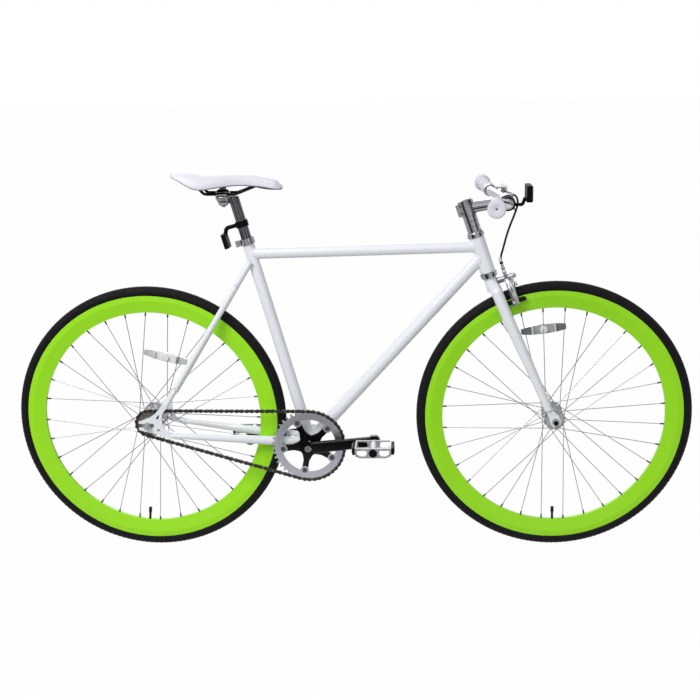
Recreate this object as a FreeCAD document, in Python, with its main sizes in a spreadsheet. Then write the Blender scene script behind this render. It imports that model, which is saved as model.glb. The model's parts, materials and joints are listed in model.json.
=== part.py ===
"""Fixed gear bicycle: steel frame, deep rims, one gear, one front brake.

Row frame in millimetres: X forward, Y to the rider's left, Z up. The origin is on the ground midway between
the axles. The drive side is at negative Y.
"""
import FreeCAD
import Part
import Sketcher
import math
import os
import re
from FreeCAD import Placement, Rotation, Vector

SIZES = {
    # Wheels
    "wheel_base": 1004.0,
    "tyre_diameter": 678.0,
    "tyre_width": 28.0,
    "tyre_wall": 2.6,
    "tyre_bead_gap": 10.0,
    "rim_diameter": 634.0,
    "rim_width": 23.0,
    "rim_depth": 43.0,
    "rim_tip_width": 9.0,
    "rim_brake_band": 13.0,
    "rim_wall": 1.8,
    "rim_flange": 2.0,
    "rim_channel": 7.0,
    "spoke_count": 32,
    "spoke_crosses": 3,
    "spoke_diameter": 2.0,
    "nipple_diameter": 4.0,
    "nipple_length": 14.0,
    "nipple_seat": 4.0,
    "front_flange_diameter": 52.0,
    "rear_flange_diameter": 64.0,
    "hub_flange_thickness": 3.0,
    "hub_flange_spacing": 67.0,
    "front_spoke_circle": 45.0,
    "rear_spoke_circle": 57.0,
    "hub_body_diameter": 27.0,
    "front_hub_windows": 0,
    "rear_hub_windows": 8,
    "hub_window_circle": 42.0,
    "hub_window_diameter": 8.0,
    "hub_bearing_length": 12.0,
    "hub_end_room": 7.0,
    "hub_neck_diameter": 24.0,
    "cog_thread_diameter": 34.0,
    "cone_diameter": 17.0,
    "front_axle_diameter": 9.0,
    "rear_axle_diameter": 10.0,
    "axle_nut_flats": 15.0,
    "axle_nut_height": 8.5,
    "axle_washer_height": 1.5,
    "axle_washer_diameter": 18.0,
    "axle_thread_end": 4.0,
    "valve_stem_diameter": 6.0,
    "valve_cap_diameter": 8.0,
    "valve_reach": 30.0,
    "front_valve_angle": -89.5,
    "rear_valve_angle": -95.5,
    "spoke_reflector_length": 110.0,
    "spoke_reflector_height": 20.0,
    "spoke_reflector_thickness": 8.8,
    "front_reflector_radius": 222.0,
    "front_reflector_angle": 97.0,
    "front_reflector_offset": 0.0,
    "rear_reflector_radius": 167.0,
    "rear_reflector_angle": 75.0,
    "rear_reflector_offset": -6.3,
    # Clearances
    "running_clearance": 0.05,
    "free_gap": 0.3,
    # Frame
    "bracket_drop": 61.0,
    "bracket_shell_diameter": 40.0,
    "bracket_shell_width": 68.0,
    "bracket_shell_bore": 34.0,
    "bracket_cup_lip": 2.0,
    "seat_angle": 74.9,
    "seat_tube_length": 533.0,
    "seat_tube_diameter": 28.6,
    "tube_wall": 1.4,
    "top_tube_diameter": 28.0,
    "top_tube_seat_height": 495.0,
    "top_tube_drop": 24.8,
    "down_tube_diameter": 31.8,
    "down_tube_rise": 42.0,
    "head_angle": 72.0,
    "head_tube_length": 89.0,
    "head_tube_diameter": 36.6,
    "head_tube_bore": 34.0,
    "chainstay_spread": 36.0,
    "chainstay_width": 18.0,
    "chainstay_height": 27.0,
    "chainstay_end_diameter": 13.0,
    "chainstay_foot_front": 60.0,
    "chainstay_foot_drop": 27.0,
    "seatstay_spread": 34.0,
    "seatstay_diameter": 15.0,
    "seatstay_height": 478.0,
    "seatstay_set_back": 6.0,
    "seatstay_taper": 1.0,
    "seatstay_foot_front": 49.0,
    "seatstay_foot_rise": 53.0,
    "stay_wall": 1.6,
    "stay_closed_end": 16.0,
    "bridge_diameter": 12.0,
    "tyre_clearance": 18.0,
    "dropout_spacing_rear": 120.0,
    "dropout_thickness": 5.5,
    "dropout_slot_front": 16.0,
    "eyelet_thread_diameter": 4.2,
    "eyelet_diameter": 9.0,
    "eyelet_height": 4.0,
    "seat_clamp_height": 15.0,
    "seat_clamp_wall": 3.6,
    "seat_clamp_stand": 1.0,
    "clamp_lug_length": 14.0,
    "clamp_lug_width": 15.0,
    "clamp_slit": 2.0,
    "clamp_bolt_length": 22.0,
    # Cap screws
    "small_bolt_diameter": 5.0,
    "small_bolt_head_diameter": 8.0,
    "small_bolt_head_height": 4.5,
    "small_bolt_length": 20.0,
    "key_socket_diameter": 3.6,
    "key_socket_depth": 2.5,
    # Steering
    "fork_rake": 42.6,
    "fork_length": 383.0,
    "steerer_diameter": 28.6,
    "steerer_wall": 2.2,
    "head_stack_lower": 13.6,
    "head_stack_upper": 14.4,
    "bearing_height": 6.0,
    "head_cup_height": 8.0,
    "head_cup_diameter": 42.0,
    "head_cup_skirt": 10.0,
    "spacer_stack": 41.0,
    "spacer_count": 3,
    "spacer_diameter": 34.0,
    "top_cap_height": 4.0,
    "crown_drop": 35.0,
    "crown_collar_diameter": 31.0,
    "blade_spread": 74.0,
    "blade_top_diameter": 28.0,
    "blade_tip_diameter": 19.0,
    "blade_wall": 1.8,
    "blade_top_offset": 5.5,
    "blade_tip_height": 34.0,
    "blade_tip_offset": 35.0,
    "blade_solid_end": 14.0,
    "fork_tip_half_width": 13.0,
    "fork_tip_drop": 13.0,
    "fork_tongue_length": 18.0,
    "dropout_spacing_front": 100.0,
    "fork_tip_thickness": 5.0,
    "stem_clamp_height": 36.0,
    "stem_clamp_diameter": 38.0,
    "stem_length": 95.0,
    "stem_rise": 7.7,
    "stem_neck_diameter": 28.6,
    "stem_neck_taper": 4.0,
    "stem_ear_length": 14.0,
    "stem_ear_width": 22.0,
    "face_bolt_spacing": 28.0,
    "bar_clamp_diameter": 39.0,
    "bar_clamp_width": 44.0,
    "bar_centre_diameter": 25.4,
    "bar_centre_width": 90.0,
    "bar_diameter": 22.2,
    "bar_wall": 2.0,
    "bar_half_width": 272.0,
    "bar_level_reach": 52.0,
    "bar_corner_reach": 122.0,
    "bar_corner_share": 0.72,
    "bar_bend_radius": 50.0,
    "bar_rise": 18.0,
    "bar_sweep": 42.0,
    "grip_length": 126.0,
    "grip_diameter": 32.0,
    "grip_flange_diameter": 41.0,
    "grip_flange_width": 5.0,
    "grip_end_wall": 3.0,
    # Front brake
    "brake_bolt_drop": 15.0,
    "brake_bolt_diameter": 6.0,
    "arm_diameter": 10.0,
    "arm_boss_diameter": 18.0,
    "arm_gap": 1.2,
    "arm_start": 32.0,
    "arm_spread": 64.0,
    "arm_bend_radius": 17.0,
    "arm_lever_bend_radius": 14.0,
    "caliper_bolt_back": 15.0,
    "caliper_head_height": 5.0,
    "caliper_head_lip": 2.0,
    "caliper_nut_height": 5.0,
    "cable_offset": 24.0,
    "right_stop_rise": 20.0,
    "left_stop_drop": 16.0,
    "adjuster_height": 19.0,
    "anchor_head_diameter": 10.0,
    "shoe_stud_diameter": 6.0,
    "shoe_nut_flats": 10.0,
    "shoe_nut_height": 4.0,
    "pad_length": 50.0,
    "pad_height": 10.0,
    "pad_thickness": 10.0,
    "pad_rim_gap": 2.0,
    "pad_depth": 8.0,
    "lever_place": 138.0,
    "lever_reach": 48.0,
    "lever_length": 112.0,
    "lever_blade_height": 9.0,
    "lever_blade_thickness": 6.0,
    "lever_collar_width": 12.0,
    "lever_collar_wall": 4.0,
    "lever_cheek": 4.0,
    "lever_boss_diameter": 16.0,
    "lever_pin_diameter": 5.0,
    "lever_slot_size": 46.0,
    "ferrule_diameter": 9.0,
    "ferrule_length": 18.0,
    "cable_diameter": 5.0,
    # Drive
    "chain_pitch": 12.7,
    "chain_links": 94,
    "chain_line": 45.0,
    "chain_roller_diameter": 7.75,
    "chain_inner_width": 3.3,
    "chain_plate_thickness": 1.0,
    "chain_plate_height": 8.4,
    "chain_pin_diameter": 3.6,
    "chain_side_gap": 0.12,
    "ring_teeth": 44,
    "cog_teeth": 16,
    "tooth_width": 2.7,
    "tooth_height": 3.2,
    "tooth_tip_width": 1.8,
    "roller_seat_gap": 0.2,
    "ring_inner_diameter": 135.0,
    "ring_bolt_circle": 130.0,
    "ring_bolt_count": 5,
    "ring_bolt_diameter": 10.0,
    "ring_tab_diameter": 21.0,
    "spider_thickness": 5.6,
    "spider_arm_width": 15.0,
    "spindle_diameter": 17.0,
    "spindle_end_diameter": 13.0,
    "crank_length": 165.0,
    "crank_angle": 7.0,
    "crank_boss_diameter": 38.0,
    "crank_face": 70.0,
    "crank_eye_diameter": 31.0,
    "crank_eye_face": 80.0,
    "crank_arm_thickness": 13.0,
    "crank_arm_width": 29.0,
    "crank_arm_end_width": 26.0,
    "pedal_axle_diameter": 9.0,
    "pedal_thread_diameter": 14.0,
    "pedal_cage_length": 86.0,
    "pedal_cage_width": 64.0,
    "pedal_cage_height": 24.0,
    "pedal_plate": 3.5,
    "pedal_barrel_diameter": 22.0,
    "pedal_start": 100.0,
    "pedal_reflector_depth": 7.0,
    # Seat
    "seatpost_diameter": 25.4,
    "seatpost_wall": 2.2,
    "seatpost_insertion": 120.0,
    "seatpost_height": 100.0,
    "saddle_clamp_setback": 25.6,
    "saddle_clamp_rise": 13.1,
    "rail_diameter": 7.0,
    "rail_spread": 44.0,
    "rail_bend_radius": 12.0,
    "cradle_diameter": 28.0,
    "cradle_height": 13.0,
    "cradle_drop": 7.0,
    "post_neck_diameter": 22.0,
    "post_solid_end": 16.0,
    "clamp_plate_length": 38.0,
    "clamp_plate_height": 6.6,
    "clamp_plate_gap": 0.8,
    "clamp_plate_margin": 7.0,
    "clamp_stud_diameter": 6.0,
    "clamp_stud_flats": 10.0,
    "saddle_tail": 121.0,
    "saddle_length": 266.0,
    "saddle_width": 148.0,
    "saddle_base_thickness": 4.0,
    # Bar and post reflectors
    "bar_reflector_offset": 38.0,
    "bar_reflector_band": 12.0,
    "bar_reflector_depth": 13.0,
    "bar_reflector_width": 62.0,
    "bar_reflector_height": 38.0,
    "bar_reflector_arm_diameter": 8.0,
    "post_reflector_height": 30.0,
    "post_reflector_band": 15.0,
    "post_reflector_depth": 11.0,
    "post_reflector_width": 38.0,
    "post_reflector_tall": 36.0,
    "post_reflector_arm_diameter": 10.0,
}

doc = FreeCAD.newDocument("fixed_gear_bike")
sheet = doc.addObject("Spreadsheet::Sheet", "Size")
for row, (alias, number) in enumerate(SIZES.items(), start=1):
    sheet.set(f"A{row}", alias)
    sheet.set(f"B{row}", str(number))
    sheet.setAlias(f"B{row}", alias)
doc.recompute()

X_AXIS = Vector(1, 0, 0)
Y_AXIS = Vector(0, 1, 0)
Z_AXIS = Vector(0, 0, 1)
SIDES = {"left": 1, "right": -1}
EYELET_SHARES = (0.16, 0.88)
LONG = 40.0
nodes = []


# Helpers that bind document objects to the sheet

def bound(words):
    """Turn plain alias words into an expression that reads the sheet."""
    return re.sub(r"\b[a-z]\w*_\w+\b", r"Size.\g<0>", words)


def number(words):
    """The present value of an expression."""
    return float(sheet.evalExpression(bound(words)))


def node(obj, label):
    """Name an object as one sub-part of the bicycle."""
    obj.Label = label
    nodes.append(obj)
    return obj


def bind(obj, **sizes):
    for prop, words in sizes.items():
        if isinstance(words, str):
            obj.setExpression(prop, bound(words))
        else:
            setattr(obj, prop, words)


def along(base, direction):
    """A place whose Z axis points along a direction."""
    return Placement(base, Rotation(Z_AXIS, direction))


def axial(base, direction):
    """A place whose X axis points along a direction, for turned profiles."""
    return Placement(base, Rotation(X_AXIS, direction))


def side_view(base):
    """A place whose X and Y axes show the bicycle from the drive side; Z points to the right."""
    return Placement(base, Rotation(X_AXIS, 90))


def cylinder(name, radius, height, place):
    obj = doc.addObject("Part::Cylinder", name)
    bind(obj, Radius=radius, Height=height)
    obj.Placement = place
    return obj


def cone(name, radius_a, radius_b, height, place):
    obj = doc.addObject("Part::Cone", name)
    bind(obj, Radius1=radius_a, Radius2=radius_b, Height=height)
    obj.Placement = place
    return obj


def ball(name, radius, centre):
    obj = doc.addObject("Part::Sphere", name)
    bind(obj, Radius=radius)
    obj.Placement = Placement(centre, Rotation())
    return obj


def ring(name, radius, tube_radius, place):
    obj = doc.addObject("Part::Torus", name)
    bind(obj, Radius1=radius, Radius2=tube_radius)
    obj.Placement = place
    return obj


def block(name, length, width, height, place):
    """A box centred on its place."""
    obj = doc.addObject("Part::Box", name)
    bind(obj, Length=length, Width=width, Height=height)
    half = [number(str(size)) / 2 for size in (length, width, height)]
    obj.Placement = place.multiply(Placement(Vector(-half[0], -half[1], -half[2]), Rotation()))
    return obj


def hexagon(name, flats, height, place):
    obj = doc.addObject("Part::Prism", name)
    obj.Polygon = 6
    bind(obj, Circumradius=f"({flats}) / sqrt(3)", Height=height)
    obj.Placement = place
    return obj


def fuse(name, *shapes):
    obj = doc.addObject("Part::MultiFuse", name)
    obj.Shapes = list(shapes)
    return obj


def cut(name, base, *tools):
    obj = doc.addObject("Part::Cut", name)
    obj.Base = base
    obj.Tool = tools[0] if len(tools) == 1 else fuse(name + "_tools", *tools)
    return obj


def common(name, base, tool):
    obj = doc.addObject("Part::Common", name)
    obj.Base = base
    obj.Tool = tool
    return obj


def group(name, *shapes):
    obj = doc.addObject("Part::Compound", name)
    obj.Links = list(shapes)
    return obj


def copies(name, shape_object, places):
    """One sub-part made of placed copies of a finished shape."""
    doc.recompute()
    shape = shape_object.Shape
    obj = doc.addObject("Part::Feature", name)
    obj.Shape = Part.makeCompound([shape.transformed(place.toMatrix(), True) for place in places])
    return obj


def sleeve(name, outer_radius, inner_radius, height, place):
    """A plain ring."""
    outside = cylinder(name + "_outside", outer_radius, height, place)
    inside = cylinder(name + "_inside", inner_radius, height, place)
    return cut(name, outside, inside)


def sketch_on(body, outlines, circles=()):
    """A sketch on the body's XY plane, each corner and circle bound to the sheet."""
    sketch = body.newObject("Sketcher::SketchObject", body.Name + "_sketch")
    plane = [item for item in body.Origin.OriginFeatures if item.Role == "XY_Plane"][0]
    sketch.AttachmentSupport = [(plane, "")]
    sketch.MapMode = "FlatFace"

    def hold(kind, axis_line, geometry, point, words):
        if abs(number(words)) < 1e-9:
            sketch.addConstraint(Sketcher.Constraint("PointOnObject", geometry, point, axis_line))
            return
        index = sketch.addConstraint(Sketcher.Constraint(kind, -1, 1, geometry, point, number(words)))
        sketch.setExpression(f"Constraints[{index}]", bound(words))

    for corners in outlines:
        points = [Vector(number(across), number(up), 0) for across, up in corners]
        first = sketch.GeometryCount
        count = len(points)
        for index in range(count):
            sketch.addGeometry(Part.LineSegment(points[index], points[(index + 1) % count]))
        for index in range(count):
            following = first + (index + 1) % count
            sketch.addConstraint(Sketcher.Constraint("Coincident", first + index, 2, following, 1))
        for index, (across, up) in enumerate(corners):
            hold("DistanceX", -2, first + index, 1, across)
            hold("DistanceY", -1, first + index, 1, up)
    for across, up, radius in circles:
        centre = Vector(number(across), number(up), 0)
        geometry = sketch.addGeometry(Part.Circle(centre, Z_AXIS, number(radius)))
        hold("DistanceX", -2, geometry, 3, across)
        hold("DistanceY", -1, geometry, 3, up)
        index = sketch.addConstraint(Sketcher.Constraint("Radius", geometry, number(radius)))
        sketch.setExpression(f"Constraints[{index}]", bound(radius))
    return sketch


def turned(name, outlines, place):
    """A body turned about the place's X axis; corners are (along the axis, radius)."""
    body = doc.addObject("PartDesign::Body", name)
    sketch = sketch_on(body, outlines)
    revolution = body.newObject("PartDesign::Revolution", name + "_turn")
    revolution.Profile = sketch
    revolution.ReferenceAxis = (sketch, ["H_Axis"])
    revolution.Angle = 360
    body.Placement = place
    return body


def plate(name, outlines, thickness, place):
    """A body padded both ways from the place's XY plane."""
    body = doc.addObject("PartDesign::Body", name)
    sketch = sketch_on(body, outlines)
    pad = body.newObject("PartDesign::Pad", name + "_pad")
    pad.Profile = sketch
    pad.Midplane = True
    bind(pad, Length=thickness)
    body.Placement = place
    return body


def cut_round(body, outlines, circles, count):
    """Cut an outline or circle right through a body, repeated round its Z axis."""
    pockets = []
    for kind in ([outlines, ()], [(), circles]):
        if not kind[0] and not kind[1]:
            continue
        sketch = sketch_on(body, kind[0], kind[1])
        doc.recompute()
        pocket = body.newObject("PartDesign::Pocket", body.Name + "_pocket")
        pocket.Profile = sketch
        pocket.Type = "ThroughAll"
        pocket.Midplane = True
        pockets.append(pocket)
    pattern = body.newObject("PartDesign::PolarPattern", body.Name + "_pattern")
    pattern.Originals = pockets
    pattern.Axis = (pockets[0].Profile[0], ["N_Axis"])
    pattern.Angle = 360
    bind(pattern, Occurrences=count)
    body.Tip = pattern
    return body


def path_wire(points, radius=None, share=0.45):
    """Straight runs joined by tangent arcs; without a radius each arc is as large as its runs allow."""
    edges = []
    start = points[0]
    for before, corner, after in zip(points, points[1:], points[2:]):
        toward = (corner - before).normalize()
        away = (after - corner).normalize()
        turn = toward.getAngle(away)
        room = share * min((corner - before).Length, (after - corner).Length)
        reach = room if radius is None else radius * math.tan(turn / 2)
        bend = reach / math.tan(turn / 2)
        middle = corner + (away - toward).normalize() * (bend / math.cos(turn / 2) - bend)
        edges.append(Part.LineSegment(start, corner - toward * reach).toShape())
        edges.append(Part.Arc(corner - toward * reach, middle, corner + away * reach).toShape())
        start = corner + away * reach
    edges.append(Part.LineSegment(start, points[-1]).toShape())
    return Part.Wire(edges)


def swept(name, points, radius, bend=None):
    """A round rod along a path of straight runs and arcs."""
    path = doc.addObject("Part::Feature", name + "_path")
    path.Shape = path_wire(points, bend)
    section = doc.addObject("Part::Circle", name + "_section")
    bind(section, Radius=radius)
    section.Placement = along(points[0], points[1] - points[0])
    obj = doc.addObject("Part::Sweep", name)
    obj.Sections = [section]
    obj.Spine = (path, [f"Edge{index + 1}" for index in range(len(path.Shape.Edges))])
    obj.Solid = True
    obj.Frenet = False
    return obj


def lofted(name, circles):
    """A smooth round form through circles, each (centre, direction, radius)."""
    sections = []
    for index, (centre, direction, radius) in enumerate(circles):
        section = doc.addObject("Part::Circle", f"{name}_section{index}")
        bind(section, Radius=radius)
        section.Placement = along(centre, direction)
        sections.append(section)
    obj = doc.addObject("Part::Loft", name)
    obj.Sections = sections
    obj.Solid = True
    return obj


# Main places worked out from the driving sizes

def pitch_radius(teeth):
    return sheet.chain_pitch / (2 * math.sin(math.pi / teeth))


def chain_tangent(span):
    """The straight run and the lean of a taut chain between the two sprockets."""
    difference = pitch_radius(sheet.ring_teeth) - pitch_radius(sheet.cog_teeth)
    return math.sqrt(span ** 2 - difference ** 2), math.asin(difference / span)


def chain_length(span):
    run, lean = chain_tangent(span)
    wrapped = sheet.ring_teeth * (math.pi + 2 * lean) + sheet.cog_teeth * (math.pi - 2 * lean)
    return 2 * run + sheet.chain_pitch * wrapped / (2 * math.pi)


def taut_span():
    """The distance between crank and rear axle at which the closed chain is just taut."""
    wanted = sheet.chain_pitch * sheet.chain_links
    low = pitch_radius(sheet.ring_teeth) + pitch_radius(sheet.cog_teeth)
    high = wanted / 2
    for _ in range(60):
        middle = (low + high) / 2
        if chain_length(middle) < wanted:
            low = middle
        else:
            high = middle
    return low


axle_height = sheet.tyre_diameter / 2
rear_axle_place = Vector(-sheet.wheel_base / 2, 0, axle_height)
front_axle_place = Vector(sheet.wheel_base / 2, 0, axle_height)
chain_span = taut_span()
bracket_ahead = math.sqrt(chain_span ** 2 - sheet.bracket_drop ** 2)
bracket = rear_axle_place + Vector(bracket_ahead, 0, -sheet.bracket_drop)

seat_angle = math.radians(sheet.seat_angle)
seat_direction = Vector(-math.cos(seat_angle), 0, math.sin(seat_angle))
seat_back = Vector(-math.sin(seat_angle), 0, -math.cos(seat_angle))
seat_top = bracket + seat_direction * sheet.seat_tube_length

head_angle = math.radians(sheet.head_angle)
steer_up = Vector(-math.cos(head_angle), 0, math.sin(head_angle))
steer_front = Vector(math.sin(head_angle), 0, math.cos(head_angle))
steer_foot = front_axle_place - steer_front * sheet.fork_rake
STEER = Placement(steer_foot, Rotation(Y_AXIS, sheet.head_angle - 90))

head_bottom = sheet.fork_length + sheet.head_stack_lower
head_top = head_bottom + sheet.head_tube_length
spacer_bottom = head_top + sheet.head_stack_upper
stem_bottom = spacer_bottom + sheet.spacer_stack
stem_middle = stem_bottom + sheet.stem_clamp_height / 2
stem_top = stem_bottom + sheet.stem_clamp_height
blade_top = sheet.fork_length - sheet.crown_drop
brake_bolt_height = sheet.fork_length - sheet.brake_bolt_drop


def steer(front, left, up):
    """A point given in the steering frame: ahead of the axis, to the left, and up from its foot."""
    return steer_foot + steer_front * front + Y_AXIS * left + steer_up * up


stem_rise = math.radians(sheet.stem_rise)
stem_direction = Vector(math.cos(stem_rise), 0, math.sin(stem_rise))
bar_centre = steer(0, 0, stem_middle) + stem_direction * sheet.stem_length

crank_turn = math.radians(sheet.crank_angle)
crank_direction = Vector(math.cos(crank_turn), 0, math.sin(crank_turn))


# Frame tubes

def frame_tubes():
    """Main tubes, each mitred against the tubes that it meets."""
    head_place = along(steer(0, 0, head_bottom), steer_up)
    seat_place = along(bracket, seat_direction)
    shell_place = along(bracket + Y_AXIS * sheet.bracket_shell_width / 2, -Y_AXIS)
    head_solid = cylinder("head_solid", "head_tube_diameter / 2", "head_tube_length", head_place)
    seat_solid = cylinder("seat_solid", "seat_tube_diameter / 2", "seat_tube_length", seat_place)
    shell_solid = cylinder("shell_solid", "bracket_shell_diameter / 2", "bracket_shell_width", shell_place)

    head_bore = cylinder("head_bore", "head_tube_bore / 2", "head_tube_length", head_place)
    node(cut("head_tube_cut", head_solid, head_bore), "head_tube")
    shell_bore = cylinder("shell_bore", "bracket_shell_bore / 2", "bracket_shell_width", shell_place)
    node(cut("shell_cut", shell_solid, shell_bore), "bottom_bracket_shell")
    post_bore = "seatpost_diameter / 2 + running_clearance"
    seat_bore = cylinder("seat_bore", post_bore, "seat_tube_length", seat_place)
    node(cut("seat_tube_cut", seat_solid, seat_bore, shell_solid), "seat_tube")

    def mitred(label, start, end, diameter, *neighbours):
        length = (end - start).Length
        place = along(start, end - start)
        outside = cylinder(label + "_outside", f"{diameter} / 2", length, place)
        inside = cylinder(label + "_inside", f"{diameter} / 2 - tube_wall", length, place)
        node(cut(label + "_cut", outside, inside, *neighbours), label)

    top_start = bracket + seat_direction * sheet.top_tube_seat_height
    top_end = steer(0, 0, head_top - sheet.top_tube_drop)
    mitred("top_tube", top_start, top_end, "top_tube_diameter", seat_solid, head_solid)
    down_end = steer(0, 0, head_bottom + sheet.down_tube_rise)
    mitred("down_tube", bracket, down_end, "down_tube_diameter", shell_solid, head_solid, seat_solid)
    return seat_solid, shell_solid


def dropout(side):
    """A track dropout plate with its rear slot and two windows, as seen from the drive side."""
    inner = number("dropout_spacing_rear / 2 + dropout_thickness / 2")
    half_slot = "(rear_axle_diameter / 2 + free_gap)"
    plate_edge = [
        ("-22", f"{half_slot} + 5"), ("3", "19"), ("20", "30"), ("35", "48"), ("44", "66"), ("57", "59"),
        ("51", "46"), ("39", "32"), ("36", "18"), ("37", "2"), ("44", "-14"), ("74", "-20"),
        ("72", "-38"), ("43", "-30"), ("13", "-20"), ("-22", f"-{half_slot} - 6"), ("-22", f"-{half_slot}"),
        ("dropout_slot_front", f"-{half_slot}"), ("dropout_slot_front", half_slot), ("-22", half_slot)]
    upper_window = [("29", "28"), ("31", "26"), ("27", "14"), ("21", "18")]
    lower_window = [("27", "-8"), ("33", "-16"), ("21", "-13")]
    place = side_view(rear_axle_place + Y_AXIS * SIDES[side] * inner)
    return plate(side + "_dropout", [plate_edge, upper_window, lower_window], "dropout_thickness", place)


def stays(seat_solid, shell_solid):
    """Tapered chainstays and seatstays, slotted over the dropouts, with a bridge between each pair."""
    plates = {side: dropout(side) for side in SIDES}
    node(group("dropouts", *plates.values()), "rear_dropouts")
    low_pieces = []
    high_pieces = []
    for side, sign in SIDES.items():
        low_start = bracket + Y_AXIS * sign * sheet.chainstay_spread / 2
        low_end = chainstay_foot(sign)
        high_start = stay_top(sign)
        high_end = stay_foot(sign)
        low_stay = oval_stay(side + "_chainstay", low_start, low_end)
        high_stay = hollow_stay(side + "_seatstay", high_start, high_end, "seatstay_diameter / 2",
                                "seatstay_diameter / 2 - seatstay_taper / 2")
        low_pieces.append(cut(side + "_chainstay_cut", low_stay, shell_solid, seat_solid, plates[side]))
        eyelets = [eyelet(f"{side}_eyelet{index}", high_start, high_end, share, sign)
                   for index, share in enumerate(EYELET_SHARES)]
        bosses = fuse(side + "_seatstay_bosses", high_stay, *[pair[0] for pair in eyelets])
        holes = [pair[1] for pair in eyelets]
        high_pieces.append(cut(side + "_seatstay_cut", bosses, seat_solid, plates[side], *holes))
    low_pieces.append(stay_bridge("chainstay_bridge", bracket, chainstay_foot(0), low_pieces))
    high_pieces.append(stay_bridge("seatstay_bridge", stay_top(0), stay_foot(0), high_pieces))
    node(group("low_stays", *low_pieces), "chainstays")
    node(group("high_stays", *high_pieces), "seatstays")


def chainstay_foot(sign):
    """Where a chainstay's line ends in its dropout."""
    outside = number("dropout_spacing_rear / 2 + dropout_thickness / 2")
    return rear_axle_place + Vector(sheet.chainstay_foot_front, sign * outside, -sheet.chainstay_foot_drop)


def stay_top(sign):
    """Where a seatstay's line meets the side of the seat tube."""
    joint = bracket + seat_direction * sheet.seatstay_height + seat_back * sheet.seatstay_set_back
    return joint + Y_AXIS * sign * sheet.seatstay_spread / 2


def stay_foot(sign):
    """Where a seatstay's line ends in its dropout."""
    outside = number("dropout_spacing_rear / 2 + dropout_thickness / 2")
    return rear_axle_place + Vector(sheet.seatstay_foot_front, sign * outside, sheet.seatstay_foot_rise)


def hollow_stay(name, start, end, radius_a, radius_b):
    """A tapered tube that is closed for a short way at its dropout end."""
    length = (end - start).Length
    place = along(start, end - start)
    outside = cone(name + "_outside", radius_a, radius_b, length, place)
    inside = cone(name + "_inside", f"{radius_a} - stay_wall", f"{radius_b} - stay_wall",
                  length - sheet.stay_closed_end, place)
    return cut(name + "_tube", outside, inside)


def oval_stay(name, start, end):
    """A chainstay: a tall oval at the bracket that tapers to a round end, closed for a short way."""
    run = end - start
    room = start + run * (1 - sheet.stay_closed_end / run.Length)
    skins = []
    for skin, wall, far in (("outside", "0", end), ("inside", "stay_wall", room)):
        round_end = f"chainstay_end_diameter / 2 - {wall}"
        loft = doc.addObject("Part::Loft", f"{name}_{skin}")
        loft.Sections = [oval(f"{name}_{skin}_front", f"chainstay_height / 2 - {wall}",
                              f"chainstay_width / 2 - {wall}", start, run),
                         oval(f"{name}_{skin}_back", round_end, round_end, far, run)]
        loft.Solid = True
        skins.append(loft)
    return cut(name + "_tube", *skins)


def oval(name, tall, wide, centre, direction):
    """An upright ellipse square to a direction."""
    obj = doc.addObject("Part::Ellipse", name)
    bind(obj, MajorRadius=tall, MinorRadius=wide)
    obj.Placement = Placement(centre, Rotation(Z_AXIS, Y_AXIS, direction, "ZXY"))
    return obj


def eyelet(name, start, end, share, sign):
    """A threaded boss on the outer face of a seatstay, and its blind hole."""
    stay_radius = number("seatstay_diameter / 2 - stay_wall / 2")
    direction = (end - start).normalize()
    outward = (Y_AXIS * sign - direction * (direction.y * sign)).normalize()
    base = start + (end - start) * share + outward * stay_radius
    boss = cylinder(name, "eyelet_diameter / 2", "eyelet_height", along(base, outward))
    hole = cylinder(name + "_hole", "eyelet_thread_diameter / 2", "eyelet_height", along(base, outward))
    return boss, hole


def stay_bridge(name, start, end, stay_pieces):
    """A cross tube between two stays, clear of the tyre."""
    wanted = number("tyre_diameter / 2 + tyre_clearance")
    share = ((start - rear_axle_place).Length - wanted) / (end - start).Length
    middle = start + (end - start) * share
    half = number("dropout_spacing_rear / 4")
    rod = cylinder(name, "bridge_diameter / 2", 2 * half, along(middle - Y_AXIS * half, Y_AXIS))
    trimmed = doc.addObject("Part::Feature", name + "_trimmed")
    doc.recompute()
    pieces = rod.Shape
    for piece in stay_pieces:
        pieces = pieces.cut(piece.Shape)
    between = [solid for solid in pieces.Solids if abs(solid.CenterOfMass.y) < 1.0]
    trimmed.Shape = between[0]
    return trimmed


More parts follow.
